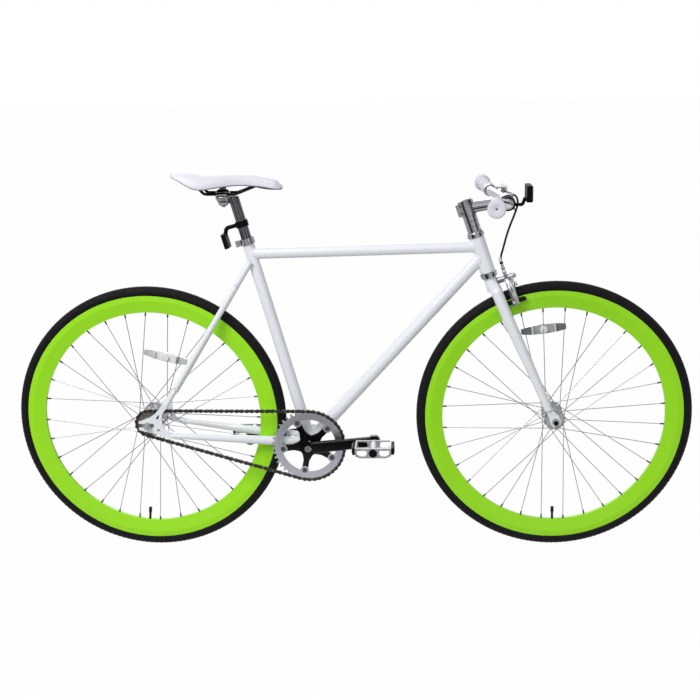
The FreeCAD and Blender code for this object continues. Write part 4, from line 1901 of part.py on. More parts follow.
def saddle():
    """The padded cover over its moulded base; the rails end in the base."""
    cover = doc.addObject("Part::Loft", "saddle_cover_loft")
    cover.Sections = [saddle_section(f"cover_section{index}", station)
                      for index, station in enumerate(SADDLE_STATIONS)]
    cover.Solid = True
    floor = doc.addObject("Part::Loft", "saddle_base_loft")
    floor.Sections = [base_section(f"base_section{index}", station)
                      for index, station in enumerate(SADDLE_STATIONS)]
    floor.Solid = True
    rails = [swept(f"rail{index}", rail_points(sign), "rail_diameter / 2", sheet.rail_bend_radius)
             for index, sign in enumerate(SIDES.values())]
    rail_pair = node(group("rail_pair", *rails), "saddle_rails")
    node(cut("saddle_base_cut", floor, rail_pair), "saddle_base")
    node(cut("saddle_cover_cut", cover, floor, rail_pair), "saddle_cover")


# Build, check and write

def build():
    seat_solid, shell_solid = frame_tubes()
    stays(seat_solid, shell_solid)
    seat_clamp()
    headset_cups()
    bracket_cartridge()
    wheels()
    chain()
    rear_cog()
    chainring()
    cranks()
    fork()
    headset_rings()
    stem()
    handlebar()
    caliper()
    brake_lever()
    brake_cable()
    front_reflector()
    rear_reflector()
    seatpost()
    saddle_clamp()
    saddle()
    doc.recompute()


def check():
    """Stop the build when any object has failed or any sub-part is not a sound solid."""
    failed = [obj.Name for obj in doc.Objects if "Invalid" in obj.State or "Error" in obj.State]
    for obj in nodes:
        shape = obj.Shape
        if shape.isNull() or not shape.isValid() or not shape.Solids:
            failed.append(obj.Label + " is not a sound solid")
    if failed:
        raise RuntimeError("; ".join(failed))


def write():
    os.makedirs("parts", exist_ok=True)
    for obj in nodes:
        obj.Shape.exportStep(os.path.join("parts", obj.Label + ".step"))
        box = obj.Shape.BoundBox
        extents = [f"{low:.1f}..{high:.1f}" for low, high in
                   ((box.XMin, box.XMax), (box.YMin, box.YMax), (box.ZMin, box.ZMax))]
        print(obj.Label, len(obj.Shape.Solids), "solids", round(obj.Shape.Volume, 1), "mm3", *extents)


def print_places():
    """Joint places in metres for the record."""
    places = {"rear_axle": rear_axle_place, "front_axle": front_axle_place, "bracket": bracket,
              "steer_foot": steer_foot, "right_pedal": pedal_centre(-1), "left_pedal": pedal_centre(1),
              "lever_pivot": lever_pivot(), "stay_top": stay_top(1), "stay_foot": stay_foot(1),
              "brake_bolt": steer(0, 0, brake_bolt_height)}
    for name, place in places.items():
        print("place", name, [round(value / 1000, 7) for value in place])
    for name, direction in {"steer_up": steer_up, "steer_front": steer_front,
                            "seat_direction": seat_direction}.items():
        print("direction", name, [round(value, 8) for value in direction])


build()
check()
write()
print_places()
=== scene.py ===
"""Looks for a fixed gear bicycle: finishes, a padded saddle, grips, tread, welds, cable and lenses."""
import json
import math

import bmesh
import bpy
from bpy.props import FloatProperty, FloatVectorProperty, IntProperty, PointerProperty
from mathutils import Matrix, Vector


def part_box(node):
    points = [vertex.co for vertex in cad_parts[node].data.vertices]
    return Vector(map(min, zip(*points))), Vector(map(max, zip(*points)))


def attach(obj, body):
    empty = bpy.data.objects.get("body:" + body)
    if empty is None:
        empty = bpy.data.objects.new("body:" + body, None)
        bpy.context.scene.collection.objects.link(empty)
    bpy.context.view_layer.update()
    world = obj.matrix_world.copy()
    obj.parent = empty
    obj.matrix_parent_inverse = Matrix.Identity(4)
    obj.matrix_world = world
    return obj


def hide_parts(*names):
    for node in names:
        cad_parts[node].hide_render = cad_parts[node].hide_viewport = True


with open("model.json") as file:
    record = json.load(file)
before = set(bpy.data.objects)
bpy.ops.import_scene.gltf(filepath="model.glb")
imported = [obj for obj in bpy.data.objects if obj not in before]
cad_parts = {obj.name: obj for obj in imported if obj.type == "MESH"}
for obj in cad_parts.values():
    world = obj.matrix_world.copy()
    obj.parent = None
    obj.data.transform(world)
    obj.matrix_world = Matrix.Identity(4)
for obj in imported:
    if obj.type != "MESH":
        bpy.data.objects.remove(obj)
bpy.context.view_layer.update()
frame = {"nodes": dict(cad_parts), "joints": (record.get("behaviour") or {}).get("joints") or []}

bl_info = {
    "name": "Fixed Gear Bicycle Looks",
    "version": (1, 0, 0),
    "blender": (4, 5, 0),
    "location": "View3D > Sidebar > Bicycle",
    "description": "Dresses the solids of a fixed gear bicycle with finishes, soft pieces and small trim",
    "category": "Object",
}

MM = 0.001
NODES = frame["nodes"]
JOINTS = {joint["name"]: joint for joint in frame["joints"]}
FRONT_AXLE = Vector(JOINTS["front_wheel_spin"]["pos_m"])
REAR_AXLE = Vector(JOINTS["rear_wheel_spin"]["pos_m"])
BRACKET = Vector(JOINTS["crank_spin"]["pos_m"])
STEER_FOOT = Vector(JOINTS["steering_turn"]["pos_m"])
STEER_UP = Vector(JOINTS["steering_turn"]["axis"])
STEER_FRONT = Vector(JOINTS["right_arm_pivot"]["axis"])
BRAKE_BOLT = Vector(JOINTS["right_arm_pivot"]["pos_m"])
LEVER_PIVOT = Vector(JOINTS["brake_lever_pull"]["pos_m"])
SEAT_UP = Vector(JOINTS["seatpost_slide"]["axis"])
LEFT = Vector((0, 1, 0))
UP = Vector((0, 0, 1))
WHEELS = {"front": FRONT_AXLE, "rear": REAR_AXLE}

# Handlebar: its middle, how far back, aside and up its ends lie, and share and place of its bends
BAR_CENTRE = Vector((0.38289, 0, 0.87021))
BAR_BACK = -0.042
BAR_HALF = 0.272
BAR_RISE = 0.018
BAR_CORNER = 0.28
BAR_GRIP = 0.122

# Brake cable: start from the lever's pivot, straight ends, free run and lower end from the caliper's bolt
CABLE_START = Vector((0.002, -0.024, 0))
CABLE_STRAIGHT_TOP = 0.022
CABLE_STRAIGHT_FOOT = 0.014
CABLE_ROUTE = ((0.398, 0.052, 0.884), (0.409, 0.024, 0.880), (0.410, 0, 0.866), (0.402, -0.013, 0.845),
               (0.391, -0.019, 0.820), (0.382, -0.022, 0.795), (0.374, -0.024, 0.764))
CABLE_DEPTH = 0.037
CABLE_OFFSET = 0.024
CABLE_RISE = 0.0394

# Ferrule and end ring of the cable: rise above its lower end, and length and radius along it in millimetres
FERRULE_RISE = 0.006
FERRULE_PROFILE = ((0, 2.4), (0.4, 3.6), (11, 3.6), (12, 2.4))
CABLE_RING_RISE = 0.0006
CABLE_RING_PROFILE = ((0, 2.4), (0.4, 4.4), (4.6, 4.4), (5, 2.4))

# Brake shoes: size, height above the axle, place of their studs along the caliper's bolt, corner and studs
SHOE_LENGTH = 0.050
SHOE_HEIGHT = 0.010
SHOE_THICKNESS = 0.010
SHOE_LEVEL = 0.309
SHOE_STUD = 0.037
SHOE_STAGGER = 0.0112
SHOE_CORNER = 0.0046
SHOE_STUD_RADIUS = 0.003
SHOE_STUD_SEAT = 0.009
SHOE_STUD_END = 0.004
BRAKE_SIDES = (("right", -1, SHOE_STUD), ("left", 1, SHOE_STUD + SHOE_STAGGER))

# Shoe nut: distance in from the stud's outer end, and radius, in millimetres
NUT_PROFILE = ((6.5, 3), (6.5, 6.6), (5, 6.6), (5, 5.2), (1.6, 5.2), (0.2, 3.6), (0.2, 0))

# Bow of a caliper arm: across and above the caliper's bolt, from the bolt to the shoe, and its section
ARM_BOW = ((0, 0), (0.01984, 0.003), (0.032, -0.024), (0.0301, -0.063))
ARM_HALF = 0.0053
ARM_SWELL = 0.0036
ARM_HALF_THICK = 0.0056

# Cap on the front axle: distance out from the axle's end, and radius, in millimetres
CAP_PROFILE = ((-3, 0), (-3, 5.4), (0, 5.4), (0.8, 4.4), (1, 0))

# Saddle clamp from its bolt's head up: level, length and width as shares of half its box
CLAMP_STACK = (((-1.36, 0.2, 0.14), (-1.34, 0.26, 0.18), (-1.1, 0.26, 0.18)),
               ((-1.16, 0.5, 0.3), (-1.12, 0.56, 0.36), (-0.42, 0.9, 0.56), (-0.38, 0.88, 0.54)),
               ((-0.38, 0.86, 0.94), (-0.34, 0.92, 1.0), (-0.04, 0.92, 1.0), (0, 0.88, 0.96)),
               ((0.02, 0.86, 0.94), (0.06, 0.92, 1.0), (0.3, 0.9, 0.98), (0.34, 0.86, 0.94)),
               ((0.34, 0.9, 0.6), (0.5, 0.88, 0.56), (0.66, 0.72, 0.48), (0.72, 0.6, 0.42)),
               ((0.7, 0.46, 0.3), (0.92, 0.42, 0.28), (1, 0.32, 0.2)),
               ((0.98, 0.14, 0.09), (1.2, 0.14, 0.09)))

# Spoke reflectors: lens, dividers as a share of half its length, round clip, and the fields at both ends
SPOKE_LENS_LENGTH = 0.110
SPOKE_LENS_HEIGHT = 0.023
SPOKE_LENS_THICKNESS = 0.0088
SPOKE_LENS_DIVIDER = 0.5
SPOKE_LENS_CLIP = 0.0092
SPOKE_LENS_CLIP_DEPTH = 0.019
SPOKE_LENS_TAPER = 0.42
SPOKE_LENS_EDGE = 0.0012
SPOKE_LENS_ROUND = 0.04
DIVIDER_WIDTH = 0.0022
DIVIDER_CORNER = 0.0008
FIELD_START = 0.55
FIELD_STOP = 0.97
FIELD_SWELL = 0.00015

# Rear reflector: middle and depth of its housing, and how deep its lens sits in it
POST_REFLECTOR = Vector((-0.29357, 0, 0.78778))
POST_REFLECTOR_DEPTH = 0.011
REAR_LENS_SINK = 0.0011

# Lenses of the bar, seatpost and pedals: width, height and depth in millimetres
FRONT_LENS = (58, 34, 1.6)
REAR_LENS = (34, 32, 1.6)
PEDAL_LENS = (44, 12, 1.2)
FRONT_LENS_DROP = 0.019
PEDAL_LENS_ASIDE = 0.132
PEDAL_LENS_RISE = 0.0025
LENS_CORNER = 0.0025
LENS_MARGIN = 5
PRISM_HEIGHT = 0.0005

# Welded tubes: radii, ends of the top tube, front end of the down tube, and ripple of the beads
HEAD_RADIUS = 0.0183
SEAT_RADIUS = 0.0143
SHELL_RADIUS = 0.020
TOP_RADIUS = 0.014
DOWN_RADIUS = 0.0159
TOP_BACK = Vector((-0.23319, 0, 0.75591))
TOP_FRONT = Vector((0.31909, 0, 0.76408))
DOWN_FRONT = Vector((0.32595, 0, 0.74297))
WELD_RIPPLE = 0.0008
WELD_RIPPLE_LENGTH = 0.0025

# Radius at which the spokes' nipples start
NIPPLE_START = 0.2645

# Tyres: radius to the tube's middle and of the tube, start of the tread, and place and turn of its studs
TYRE_MIDDLE = 0.325
TYRE_TUBE = 0.014
TREAD_EDGE = 0.333
STUD_ACROSS = 0.0075
STUD_SINK = 0.00015
STUD_TURN = math.radians(35)

# Saddle from tail to nose: place, share of the half width, drop of the top and of the edge in millimetres
SADDLE_ROWS = ((0, 0.62, 5.5, 15.5), (0.065, 0.84, 1.5, 19.5), (0.15, 0.97, 1.5, 31.5),
               (0.22, 1.0, 4.5, 41.5), (0.30, 0.97, 8.5, 45.5), (0.42, 0.80, 10.5, 42.5),
               (0.60, 0.50, 13.5, 39.5), (0.78, 0.33, 18.5, 43.5), (0.93, 0.26, 29.5, 50.5),
               (1, 0.12, 44.5, 52.5))
SADDLE_END_ROUND = 0.009
SADDLE_RINGS = 64
SADDLE_AROUND = 40

# Tucked lower edge of the saddle's cover: share of the half width, and lift in millimetres
SADDLE_TUCK = ((-0.93, -1.2), (-0.86, 1.0), (-0.4, 2.0), (0.4, 2.0), (0.86, 1.0), (0.93, -1.2))

# Seams and hem of the saddle, and the dark shell under its nose
SEAM_START = 0.03
SEAM_RUN = 0.93
SEAM_STEPS = 90
SEAM_ANGLE = math.radians(25)
HEM_INSET = 3
HEM_RADIUS = 0.0005
NOSE_START = 0.74
NOSE_RUN = 0.245
NOSE_DEPTH = 0.0055
NOSE_LIFT = 0.0005
NOSE_WIDTH = 0.82
NOSE_TAPER = 0.3
NOSE_KEEL = 0.75

# Grip from the bar's end inwards: distance along the bar and radius in millimetres
GRIP_PROFILE = ((-2.2, 0), (-2.2, 2.2), (-3, 3), (-3, 17.5), (-2.4, 19.6), (-1, 20.5), (1.2, 20.5), (2, 20),
                (3.2, 17.8), (6, 15.6), (10, 15), (114, 15), (118, 15.8), (120, 16), (125, 16), (126, 15.2),
                (126, 0))
PLUG_PROFILE = ((-2.6, 0), (-2.6, 2.0), (-1.0, 2.0), (-1.0, 0))
RIB_COUNT = 30
RIB_CIRCLE = 0.0152
RIB_START = 0.012

# Lamps: place, size in metres and power in watts; dark cards: middle, half width and half height
LAMPS = {"key": ((-1.8, -2.9, 3.5), 2.2, 134.0),
         "fill": ((0.4, -4.2, 1.6), 2.4, 22.0),
         "back": ((-0.6, 3.6, 2.6), 2.6, 60.0)}
LAMP_TARGET = Vector((0, 0, 0.5))
FLAGS = {"left_flag": ((-3.0, -1.4, 1.2), (0.34, -0.72, 0), (0, 0, 2.0)),
         "right_flag": ((3.2, -1.6, 1.2), (0.36, 0.72, 0), (0, 0, 2.0)),
         "front_flag": ((0.1, -4.2, 1.3), (1.3, 0, 0), (0, 0, 0.8)),
         "low_flag": ((0, -1.9, 0.01), (2.0, 0, 0), (0, 1.1, 0))}
FLOOR_HALF = 30.0

# Camera: place in metres, directions to its right and ahead, sensor and focal length in millimetres
CAMERA_PLACE = Vector((0.168, -2.758, 1.209))
CAMERA_RIGHT = Vector((0.99824, 0.05422, -0.02420))
CAMERA_AHEAD = Vector((-0.05851, 0.96778, -0.24489))
CAMERA_SENSOR = 36.0
CAMERA_FOCUS = 59.30


# Small helpers

def in_metres(profile):
    """Pairs in millimetres as pairs in metres."""
    return [(along * MM, radius * MM) for along, radius in profile]


def linear(code):
    """An sRGB hex colour as linear red, green, blue and alpha."""
    shares = [int(code[start:start + 2], 16) / 255 for start in (0, 2, 4)]
    return tuple(c / 12.92 if c <= 0.04045 else ((c + 0.055) / 1.055) ** 2.4 for c in shares) + (1.0,)


def put(tree, kind, values=None, **settings):
    """Add one node: settings go on the node, values go on its inputs as constants or as links."""
    node = tree.nodes.new(kind)
    for name, value in settings.items():
        setattr(node, name, value)
    for key, value in (values or {}).items():
        if isinstance(value, bpy.types.NodeSocket):
            tree.links.new(value, node.inputs[key])
        else:
            node.inputs[key].default_value = value
    return node


def placed(name, data):
    """A new object in the scene."""
    obj = bpy.data.objects.new(name, data)
    bpy.context.scene.collection.objects.link(obj)
    return obj


def squared_off(value, power):
    """A sine or cosine raised to a power with its sign kept, which squares off a round section."""
    return math.copysign(abs(value) ** power, value)


def piece(name, mesh, material, body, smooth=True):
    """A finished mesh as an object at the origin that rides on a body."""
    obj = placed(name, mesh)
    mesh.materials.clear()
    mesh.materials.append(material)
    for polygon in mesh.polygons:
        polygon.use_smooth = smooth
    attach(obj, body)
    return obj


def mesh_of(name, points, faces):
    """A mesh from points and faces, with doubles merged and faces turned outwards."""
    mesh = bpy.data.meshes.new(name)
    mesh.from_pydata([tuple(point) for point in points], [], faces)
    form = bmesh.new()
    form.from_mesh(mesh)
    bmesh.ops.remove_doubles(form, verts=form.verts, dist=0.01 * MM)
    bmesh.ops.recalc_face_normals(form, faces=form.faces)
    form.to_mesh(mesh)
    form.free()
    return mesh


def lofted(name, rings):
    """A skin over rings of equal count; the ends are closed with fans."""
    count = len(rings[0])
    points = [point for ring in rings for point in ring]
    faces = []
    for row in range(len(rings) - 1):
        for index in range(count):
            following = (index + 1) % count
            base = row * count
            faces.append((base + index, base + following, base + count + following, base + count + index))
    for ring, start in ((rings[0], 0), (rings[-1], (len(rings) - 1) * count)):
        middle = sum(ring, Vector()) / count
        points.append(middle)
        for index in range(count):
            faces.append((start + index, start + (index + 1) % count, len(points) - 1))
    return mesh_of(name, points, faces)


def turned(name, profile, base, axis, sides=64):
    """A skin turned about an axis; the profile gives (along, radius) pairs."""
    axis = axis.normalized()
    across = axis.orthogonal().normalized()
    other = axis.cross(across)
    rings = []
    for along, radius in profile:
        ring = []
        for index in range(sides):
            angle = 2 * math.pi * index / sides
            out = across * math.cos(angle) + other * math.sin(angle)
            ring.append(base + axis * along + out * max(radius, 0.02 * MM))
        rings.append(ring)
    return lofted(name, rings)


def joined(name, meshes):
    """Several meshes as one."""
    form = bmesh.new()
    for mesh in meshes:
        form.from_mesh(mesh)
    whole = bpy.data.meshes.new(name)
    form.to_mesh(whole)
    form.free()
    return whole


def between(rows, place):
    """The values at a place along rows of (place, values...), on a smooth curve through them."""
    last = len(rows) - 2
    start = min(max(sum(1 for row in rows if row[0] <= place) - 1, 0), last)
    share = (place - rows[start][0]) / (rows[start + 1][0] - rows[start][0])
    around = [rows[min(max(start + step, 0), last + 1)] for step in (-1, 0, 1, 2)]
    values = []
    for before, first, second, after in zip(*[row[1:] for row in around]):
        bend = 2 * before - 5 * first + 4 * second - after
        turn = 3 * (first - second) + after - before
        values.append(first + 0.5 * share * (second - before + share * (bend + share * turn)))
    return values


def rounded_slab(name, width, height, depth, corner, place, across, up):
    """A flat slab with round corners whose face is drawn in slightly."""
    outward = across.cross(up).normalized()
    rings = []
    for draw, level in ((0, 0), (0, 0.6), (0.12, 0.9), (0.3, 1.0)):
        ring = []
        for quarter in range(4):
            side_x = (1, -1, -1, 1)[quarter]
            side_y = (1, 1, -1, -1)[quarter]
            for step in range(7):
                angle = math.pi / 2 * (quarter + step / 6)
                inset = depth * draw
                x = side_x * (width / 2 - corner) + (corner - inset) * math.cos(angle)
                y = side_y * (height / 2 - corner) + (corner - inset) * math.sin(angle)
                ring.append(place + across * x + up * y + outward * depth * level)
        rings.append(ring)
    return lofted(name, rings)


def tube_joint(start, direction, radius, post, post_direction, post_radius, sides=72):
    """The line where a round tube meets a round post, as points round the tube."""
    direction = direction.normalized()
    post_direction = post_direction.normalized()
    across = direction.orthogonal().normalized()
    other = direction.cross(across)
    flat = direction - post_direction * direction.dot(post_direction)
    points = []
    for index in range(sides):
        angle = 2 * math.pi * index / sides
        spot = start + (across * math.cos(angle) + other * math.sin(angle)) * radius
        offset = spot - post
        offset = offset - post_direction * offset.dot(post_direction)
        a = flat.length_squared
        b = 2 * offset.dot(flat)
        c = offset.length_squared - post_radius ** 2
        reach = (-b - math.sqrt(max(b * b - 4 * a * c, 0))) / (2 * a)
        points.append(spot + direction * reach)
    return points


# Node trees that grow repeated trim

def growing_tree(name, inputs):
    """An empty geometry tree with named inputs; returns the tree and its input node."""
    tree = bpy.data.node_groups.new(name, "GeometryNodeTree")
    tree.interface.new_socket("Geometry", in_out="OUTPUT", socket_type="NodeSocketGeometry")
    tree.interface.new_socket("Geometry", in_out="INPUT", socket_type="NodeSocketGeometry")
    for label, kind in inputs.items():
        tree.interface.new_socket(label, in_out="INPUT", socket_type="NodeSocket" + kind)
    return tree, put(tree, "NodeGroupInput")


def close_tree(tree, geometry, material):
    """End a tree in plain geometry with its material."""
    plain = put(tree, "GeometryNodeRealizeInstances", {"Geometry": geometry})
    painted = put(tree, "GeometryNodeSetMaterial", {"Geometry": plain.outputs[0], "Material": material})
    put(tree, "NodeGroupOutput", {0: painted.outputs[0]})
    return tree


def grown(tree, values, source=None):
    """The plain mesh that a tree gives for its input values."""
    seed = placed("seed", source or bpy.data.meshes.new("seed"))
    modifier = seed.modifiers.new("grow", "NODES")
    modifier.node_group = tree
    for item in tree.interface.items_tree:
        if item.in_out == "INPUT" and item.name in values:
            modifier[item.identifier] = values[item.name]
    graph = bpy.context.evaluated_depsgraph_get()
    mesh = bpy.data.meshes.new_from_object(seed.evaluated_get(graph))
    bpy.data.objects.remove(seed)
    return mesh


def path_mesh(points, closed):
    """A line of edges for a tree to follow."""
    mesh = bpy.data.meshes.new("path")
    edges = [(index, index + 1) for index in range(len(points) - 1)]
    if closed:
        edges.append((len(points) - 1, 0))
    mesh.from_pydata([tuple(point) for point in points], edges, [])
    return mesh


def tree_once(name, maker):
    """A node tree by name, made the first time that it is asked for."""
    return bpy.data.node_groups.get(name) or maker()


def ring_of_studs_tree():
    """Tapered studs set round a wheel, turned by an angle on the tread."""
    inputs = {"Count": "Int", "Radius": "Float", "Across": "Float", "Turn": "Float", "Tilt": "Float",
              "Width": "Float", "Length": "Float", "Height": "Float", "Centre": "Vector", "Shift": "Float",
              "Material": "Material"}
    tree, given = growing_tree("tread_studs", inputs)
    stud = put(tree, "GeometryNodeMeshCone", {"Vertices": 6, "Radius Top": 0.36, "Radius Bottom": 0.5,
                                              "Depth": 1.0})
    size = put(tree, "ShaderNodeCombineXYZ", {0: given.outputs["Length"], 1: given.outputs["Width"],
                                              2: given.outputs["Height"]})
    turn = put(tree, "ShaderNodeCombineXYZ", {2: given.outputs["Turn"]})
    scaled = put(tree, "GeometryNodeTransform", {"Geometry": stud.outputs[0], "Scale": size.outputs[0]})
    turned_stud = put(tree, "GeometryNodeTransform", {"Geometry": scaled.outputs[0],
                                                      "Rotation": turn.outputs[0]})
    tilt = put(tree, "ShaderNodeCombineXYZ", {0: given.outputs["Tilt"]})
    place = put(tree, "ShaderNodeCombineXYZ", {1: given.outputs["Across"], 2: given.outputs["Radius"]})
    set_out = put(tree, "GeometryNodeTransform", {"Geometry": turned_stud.outputs[0],
                                                  "Translation": place.outputs[0],
                                                  "Rotation": tilt.outputs[0]})
    row = put(tree, "GeometryNodeMeshLine", {"Count": given.outputs["Count"], "Offset": (0, 0, 0)})
    step = put(tree, "ShaderNodeMath", {0: 2 * math.pi, 1: given.outputs["Count"]}, operation="DIVIDE")
    index = put(tree, "GeometryNodeInputIndex")
    shifted = put(tree, "ShaderNodeMath", {0: index.outputs[0], 1: given.outputs["Shift"]}, operation="ADD")
    angle = put(tree, "ShaderNodeMath", {0: shifted.outputs[0], 1: step.outputs[0]}, operation="MULTIPLY")
    about = put(tree, "ShaderNodeCombineXYZ", {1: angle.outputs[0]})
    ring = put(tree, "GeometryNodeInstanceOnPoints", {"Points": row.outputs[0],
                                                      "Instance": set_out.outputs[0],
                                                      "Rotation": about.outputs[0]})
    moved = put(tree, "GeometryNodeTransform", {"Geometry": ring.outputs[0],
                                                "Translation": given.outputs["Centre"]})
    return close_tree(tree, moved.outputs[0], given.outputs["Material"])


def bead_tree():
    """A weld bead along a path, its round section rippled by a fixed noise."""
    inputs = {"Radius": "Float", "Ripple": "Float", "Ripple length": "Float", "Material": "Material"}
    tree, given = growing_tree("weld_bead", inputs)
    line = put(tree, "GeometryNodeMeshToCurve", {"Mesh": given.outputs["Geometry"]})
    ring = put(tree, "GeometryNodeCurvePrimitiveCircle", {"Resolution": 10,
                                                          "Radius": given.outputs["Radius"]})
    tube = put(tree, "GeometryNodeCurveToMesh", {"Curve": line.outputs[0],
                                                 "Profile Curve": ring.outputs[0]})
    scale = put(tree, "ShaderNodeMath", {0: 1.0, 1: given.outputs["Ripple length"]}, operation="DIVIDE")
    noise = put(tree, "ShaderNodeTexNoise", {"Scale": scale.outputs[0], "Detail": 1.0})
    normal = put(tree, "GeometryNodeInputNormal")
    lift = put(tree, "ShaderNodeMath", {0: noise.outputs["Fac"], 1: given.outputs["Ripple"]},
               operation="MULTIPLY")
    offset = put(tree, "ShaderNodeVectorMath", {0: normal.outputs[0], "Scale": lift.outputs[0]},
                 operation="SCALE")
    rippled = put(tree, "GeometryNodeSetPosition", {"Geometry": tube.outputs[0],
                                                    "Offset": offset.outputs[0]})
    return close_tree(tree, rippled.outputs[0], given.outputs["Material"])


def rib_tree():
    """Round ribs along a grip's axis, evenly spaced from its start."""
    inputs = {"Count": "Int", "Radius": "Float", "Rib": "Float", "Spacing": "Float", "Start": "Vector",
              "Rotation": "Vector", "Material": "Material"}
    tree, given = growing_tree("grip_ribs", inputs)
    loop = put(tree, "GeometryNodeCurvePrimitiveCircle", {"Resolution": 48,
                                                          "Radius": given.outputs["Radius"]})
    section = put(tree, "GeometryNodeCurvePrimitiveCircle", {"Resolution": 8,
                                                             "Radius": given.outputs["Rib"]})
    rib = put(tree, "GeometryNodeCurveToMesh", {"Curve": loop.outputs[0],
                                                "Profile Curve": section.outputs[0]})
    step = put(tree, "ShaderNodeCombineXYZ", {2: given.outputs["Spacing"]})
    row = put(tree, "GeometryNodeMeshLine", {"Count": given.outputs["Count"], "Offset": step.outputs[0]})
    ribs = put(tree, "GeometryNodeInstanceOnPoints", {"Points": row.outputs[0],
                                                      "Instance": rib.outputs[0]})
    moved = put(tree, "GeometryNodeTransform", {"Geometry": ribs.outputs[0],
                                                "Translation": given.outputs["Start"],
                                                "Rotation": given.outputs["Rotation"]})
    return close_tree(tree, moved.outputs[0], given.outputs["Material"])


def prism_tree():
    """Six-sided prisms in a grid over a lens."""
    inputs = {"Across": "Float", "Up": "Float", "Columns": "Int", "Rows": "Int", "Radius": "Float",
              "Height": "Float", "Place": "Vector", "Rotation": "Vector", "Material": "Material"}
    tree, given = growing_tree("lens_prisms", inputs)
    grid = put(tree, "GeometryNodeMeshGrid", {"Size X": given.outputs["Across"],
                                              "Size Y": given.outputs["Up"],
                                              "Vertices X": given.outputs["Columns"],
                                              "Vertices Y": given.outputs["Rows"]})
    prism = put(tree, "GeometryNodeMeshCone", {"Vertices": 6, "Radius Top": 0.0,
                                               "Radius Bottom": given.outputs["Radius"],
                                               "Depth": given.outputs["Height"]})
    field = put(tree, "GeometryNodeInstanceOnPoints", {"Points": grid.outputs[0],
                                                       "Instance": prism.outputs[0]})
    moved = put(tree, "GeometryNodeTransform", {"Geometry": field.outputs[0],
                                                "Translation": given.outputs["Place"],
                                                "Rotation": given.outputs["Rotation"]})
    return close_tree(tree, moved.outputs[0], given.outputs["Material"])


def stitch_tree():
    """Short rounded threads along a seam, one for each stitch."""
    inputs = {"Pitch": "Float", "Length": "Float", "Thread": "Float", "Material": "Material"}
    tree, given = growing_tree("seam_stitches", inputs)
    line = put(tree, "GeometryNodeMeshToCurve", {"Mesh": given.outputs["Geometry"]})
    spots = put(tree, "GeometryNodeCurveToPoints", {"Curve": line.outputs[0],
                                                    "Length": given.outputs["Pitch"]}, mode="LENGTH")
    thread = put(tree, "GeometryNodeMeshUVSphere", {"Segments": 6, "Rings": 5, "Radius": 0.5})
    size = put(tree, "ShaderNodeCombineXYZ", {0: given.outputs["Thread"], 1: given.outputs["Thread"],
                                              2: given.outputs["Length"]})
    stitches = put(tree, "GeometryNodeInstanceOnPoints", {
        "Points": spots.outputs["Points"], "Instance": thread.outputs[0],
        "Rotation": spots.outputs["Rotation"], "Scale": size.outputs[0]})
    return close_tree(tree, stitches.outputs[0], given.outputs["Material"])


# Finishes

def begin(name):
    """A new material's tree and its object coordinates."""
    material = bpy.data.materials.new(name)
    material.use_nodes = True
    tree = material.node_tree
    tree.nodes.clear()
    return material, tree, put(tree, "ShaderNodeTexCoord").outputs["Object"]


def end(tree, values, bump=None, depth=0.0):
    """The shader and output of a material; the bump's depth is in metres."""
    if bump is not None:
        raised = put(tree, "ShaderNodeBump", {"Height": bump, "Strength": 1.0, "Distance": depth})
        values = {**values, "Normal": raised.outputs[0]}
    shader = put(tree, "ShaderNodeBsdfPrincipled", values)
    put(tree, "ShaderNodeOutputMaterial", {"Surface": shader.outputs[0]})


def mottled(tree, coords, size, low, high):
    """A colour that wanders softly between two tones over patches of a given size in metres."""
    noise = put(tree, "ShaderNodeTexNoise", {"Vector": coords, "Scale": 1 / size, "Detail": 3.0})
    mix = put(tree, "ShaderNodeMix", {0: noise.outputs["Fac"], 6: low, 7: high}, data_type="RGBA")
    return mix.outputs[2]


def varied(tree, coords, size, low, high):
    """A number that wanders between two values over patches of a given size in metres."""
    noise = put(tree, "ShaderNodeTexNoise", {"Vector": coords, "Scale": 1 / size, "Detail": 4.0})
    mapped = put(tree, "ShaderNodeMapRange", {"Value": noise.outputs["Fac"], 1: 0.3, 2: 0.7, 3: low,
                                              4: high})
    return mapped.outputs[0]


def fine_grain(tree, coords, size):
    """A height that rises and falls over grains of a given size in metres."""
    noise = put(tree, "ShaderNodeTexNoise", {"Vector": coords, "Scale": 1 / size, "Detail": 2.0})
    return noise.outputs["Fac"]


def shaded(colour, share):
    """A colour darkened to a share of its light."""
    return tuple(c * share for c in colour[:3]) + (1.0,)


def gloss_enamel(name, colour, roughness, coat, mirror):
    """Sprayed gloss enamel: a thick even coat whose faint orange peel softens its highlights."""
    material, tree, coords = begin(name)
    peel = fine_grain(tree, coords, 7 * MM)
    end(tree, {"Base Color": mottled(tree, coords, 60 * MM, shaded(colour, 0.975), colour),
               "Roughness": varied(tree, coords, 20 * MM, roughness * 0.9, roughness * 1.1),
               "Specular IOR Level": mirror, "Coat Weight": coat, "Coat Roughness": 0.05}, peel, 0.012 * MM)
    return material


def polished_alloy(name, colour, roughness, direction):
    """Polished or brushed aluminium: fine lines left along the last pass of the wheel."""
    material, tree, coords = begin(name)
    stretch = put(tree, "ShaderNodeMapping", {"Vector": coords, "Scale": direction})
    lines = put(tree, "ShaderNodeTexNoise", {"Vector": stretch.outputs[0], "Scale": 1 / (3 * MM),
                                             "Detail": 3.0})
    spread = put(tree, "ShaderNodeMapRange", {"Value": lines.outputs["Fac"], 1: 0.3, 2: 0.7,
                                              3: roughness * 0.75, 4: roughness * 1.3})
    end(tree, {"Base Color": mottled(tree, coords, 14 * MM, shaded(colour, 0.88), colour), "Metallic": 1.0,
               "Roughness": spread.outputs[0]}, lines.outputs["Fac"], 0.006 * MM)
    return material


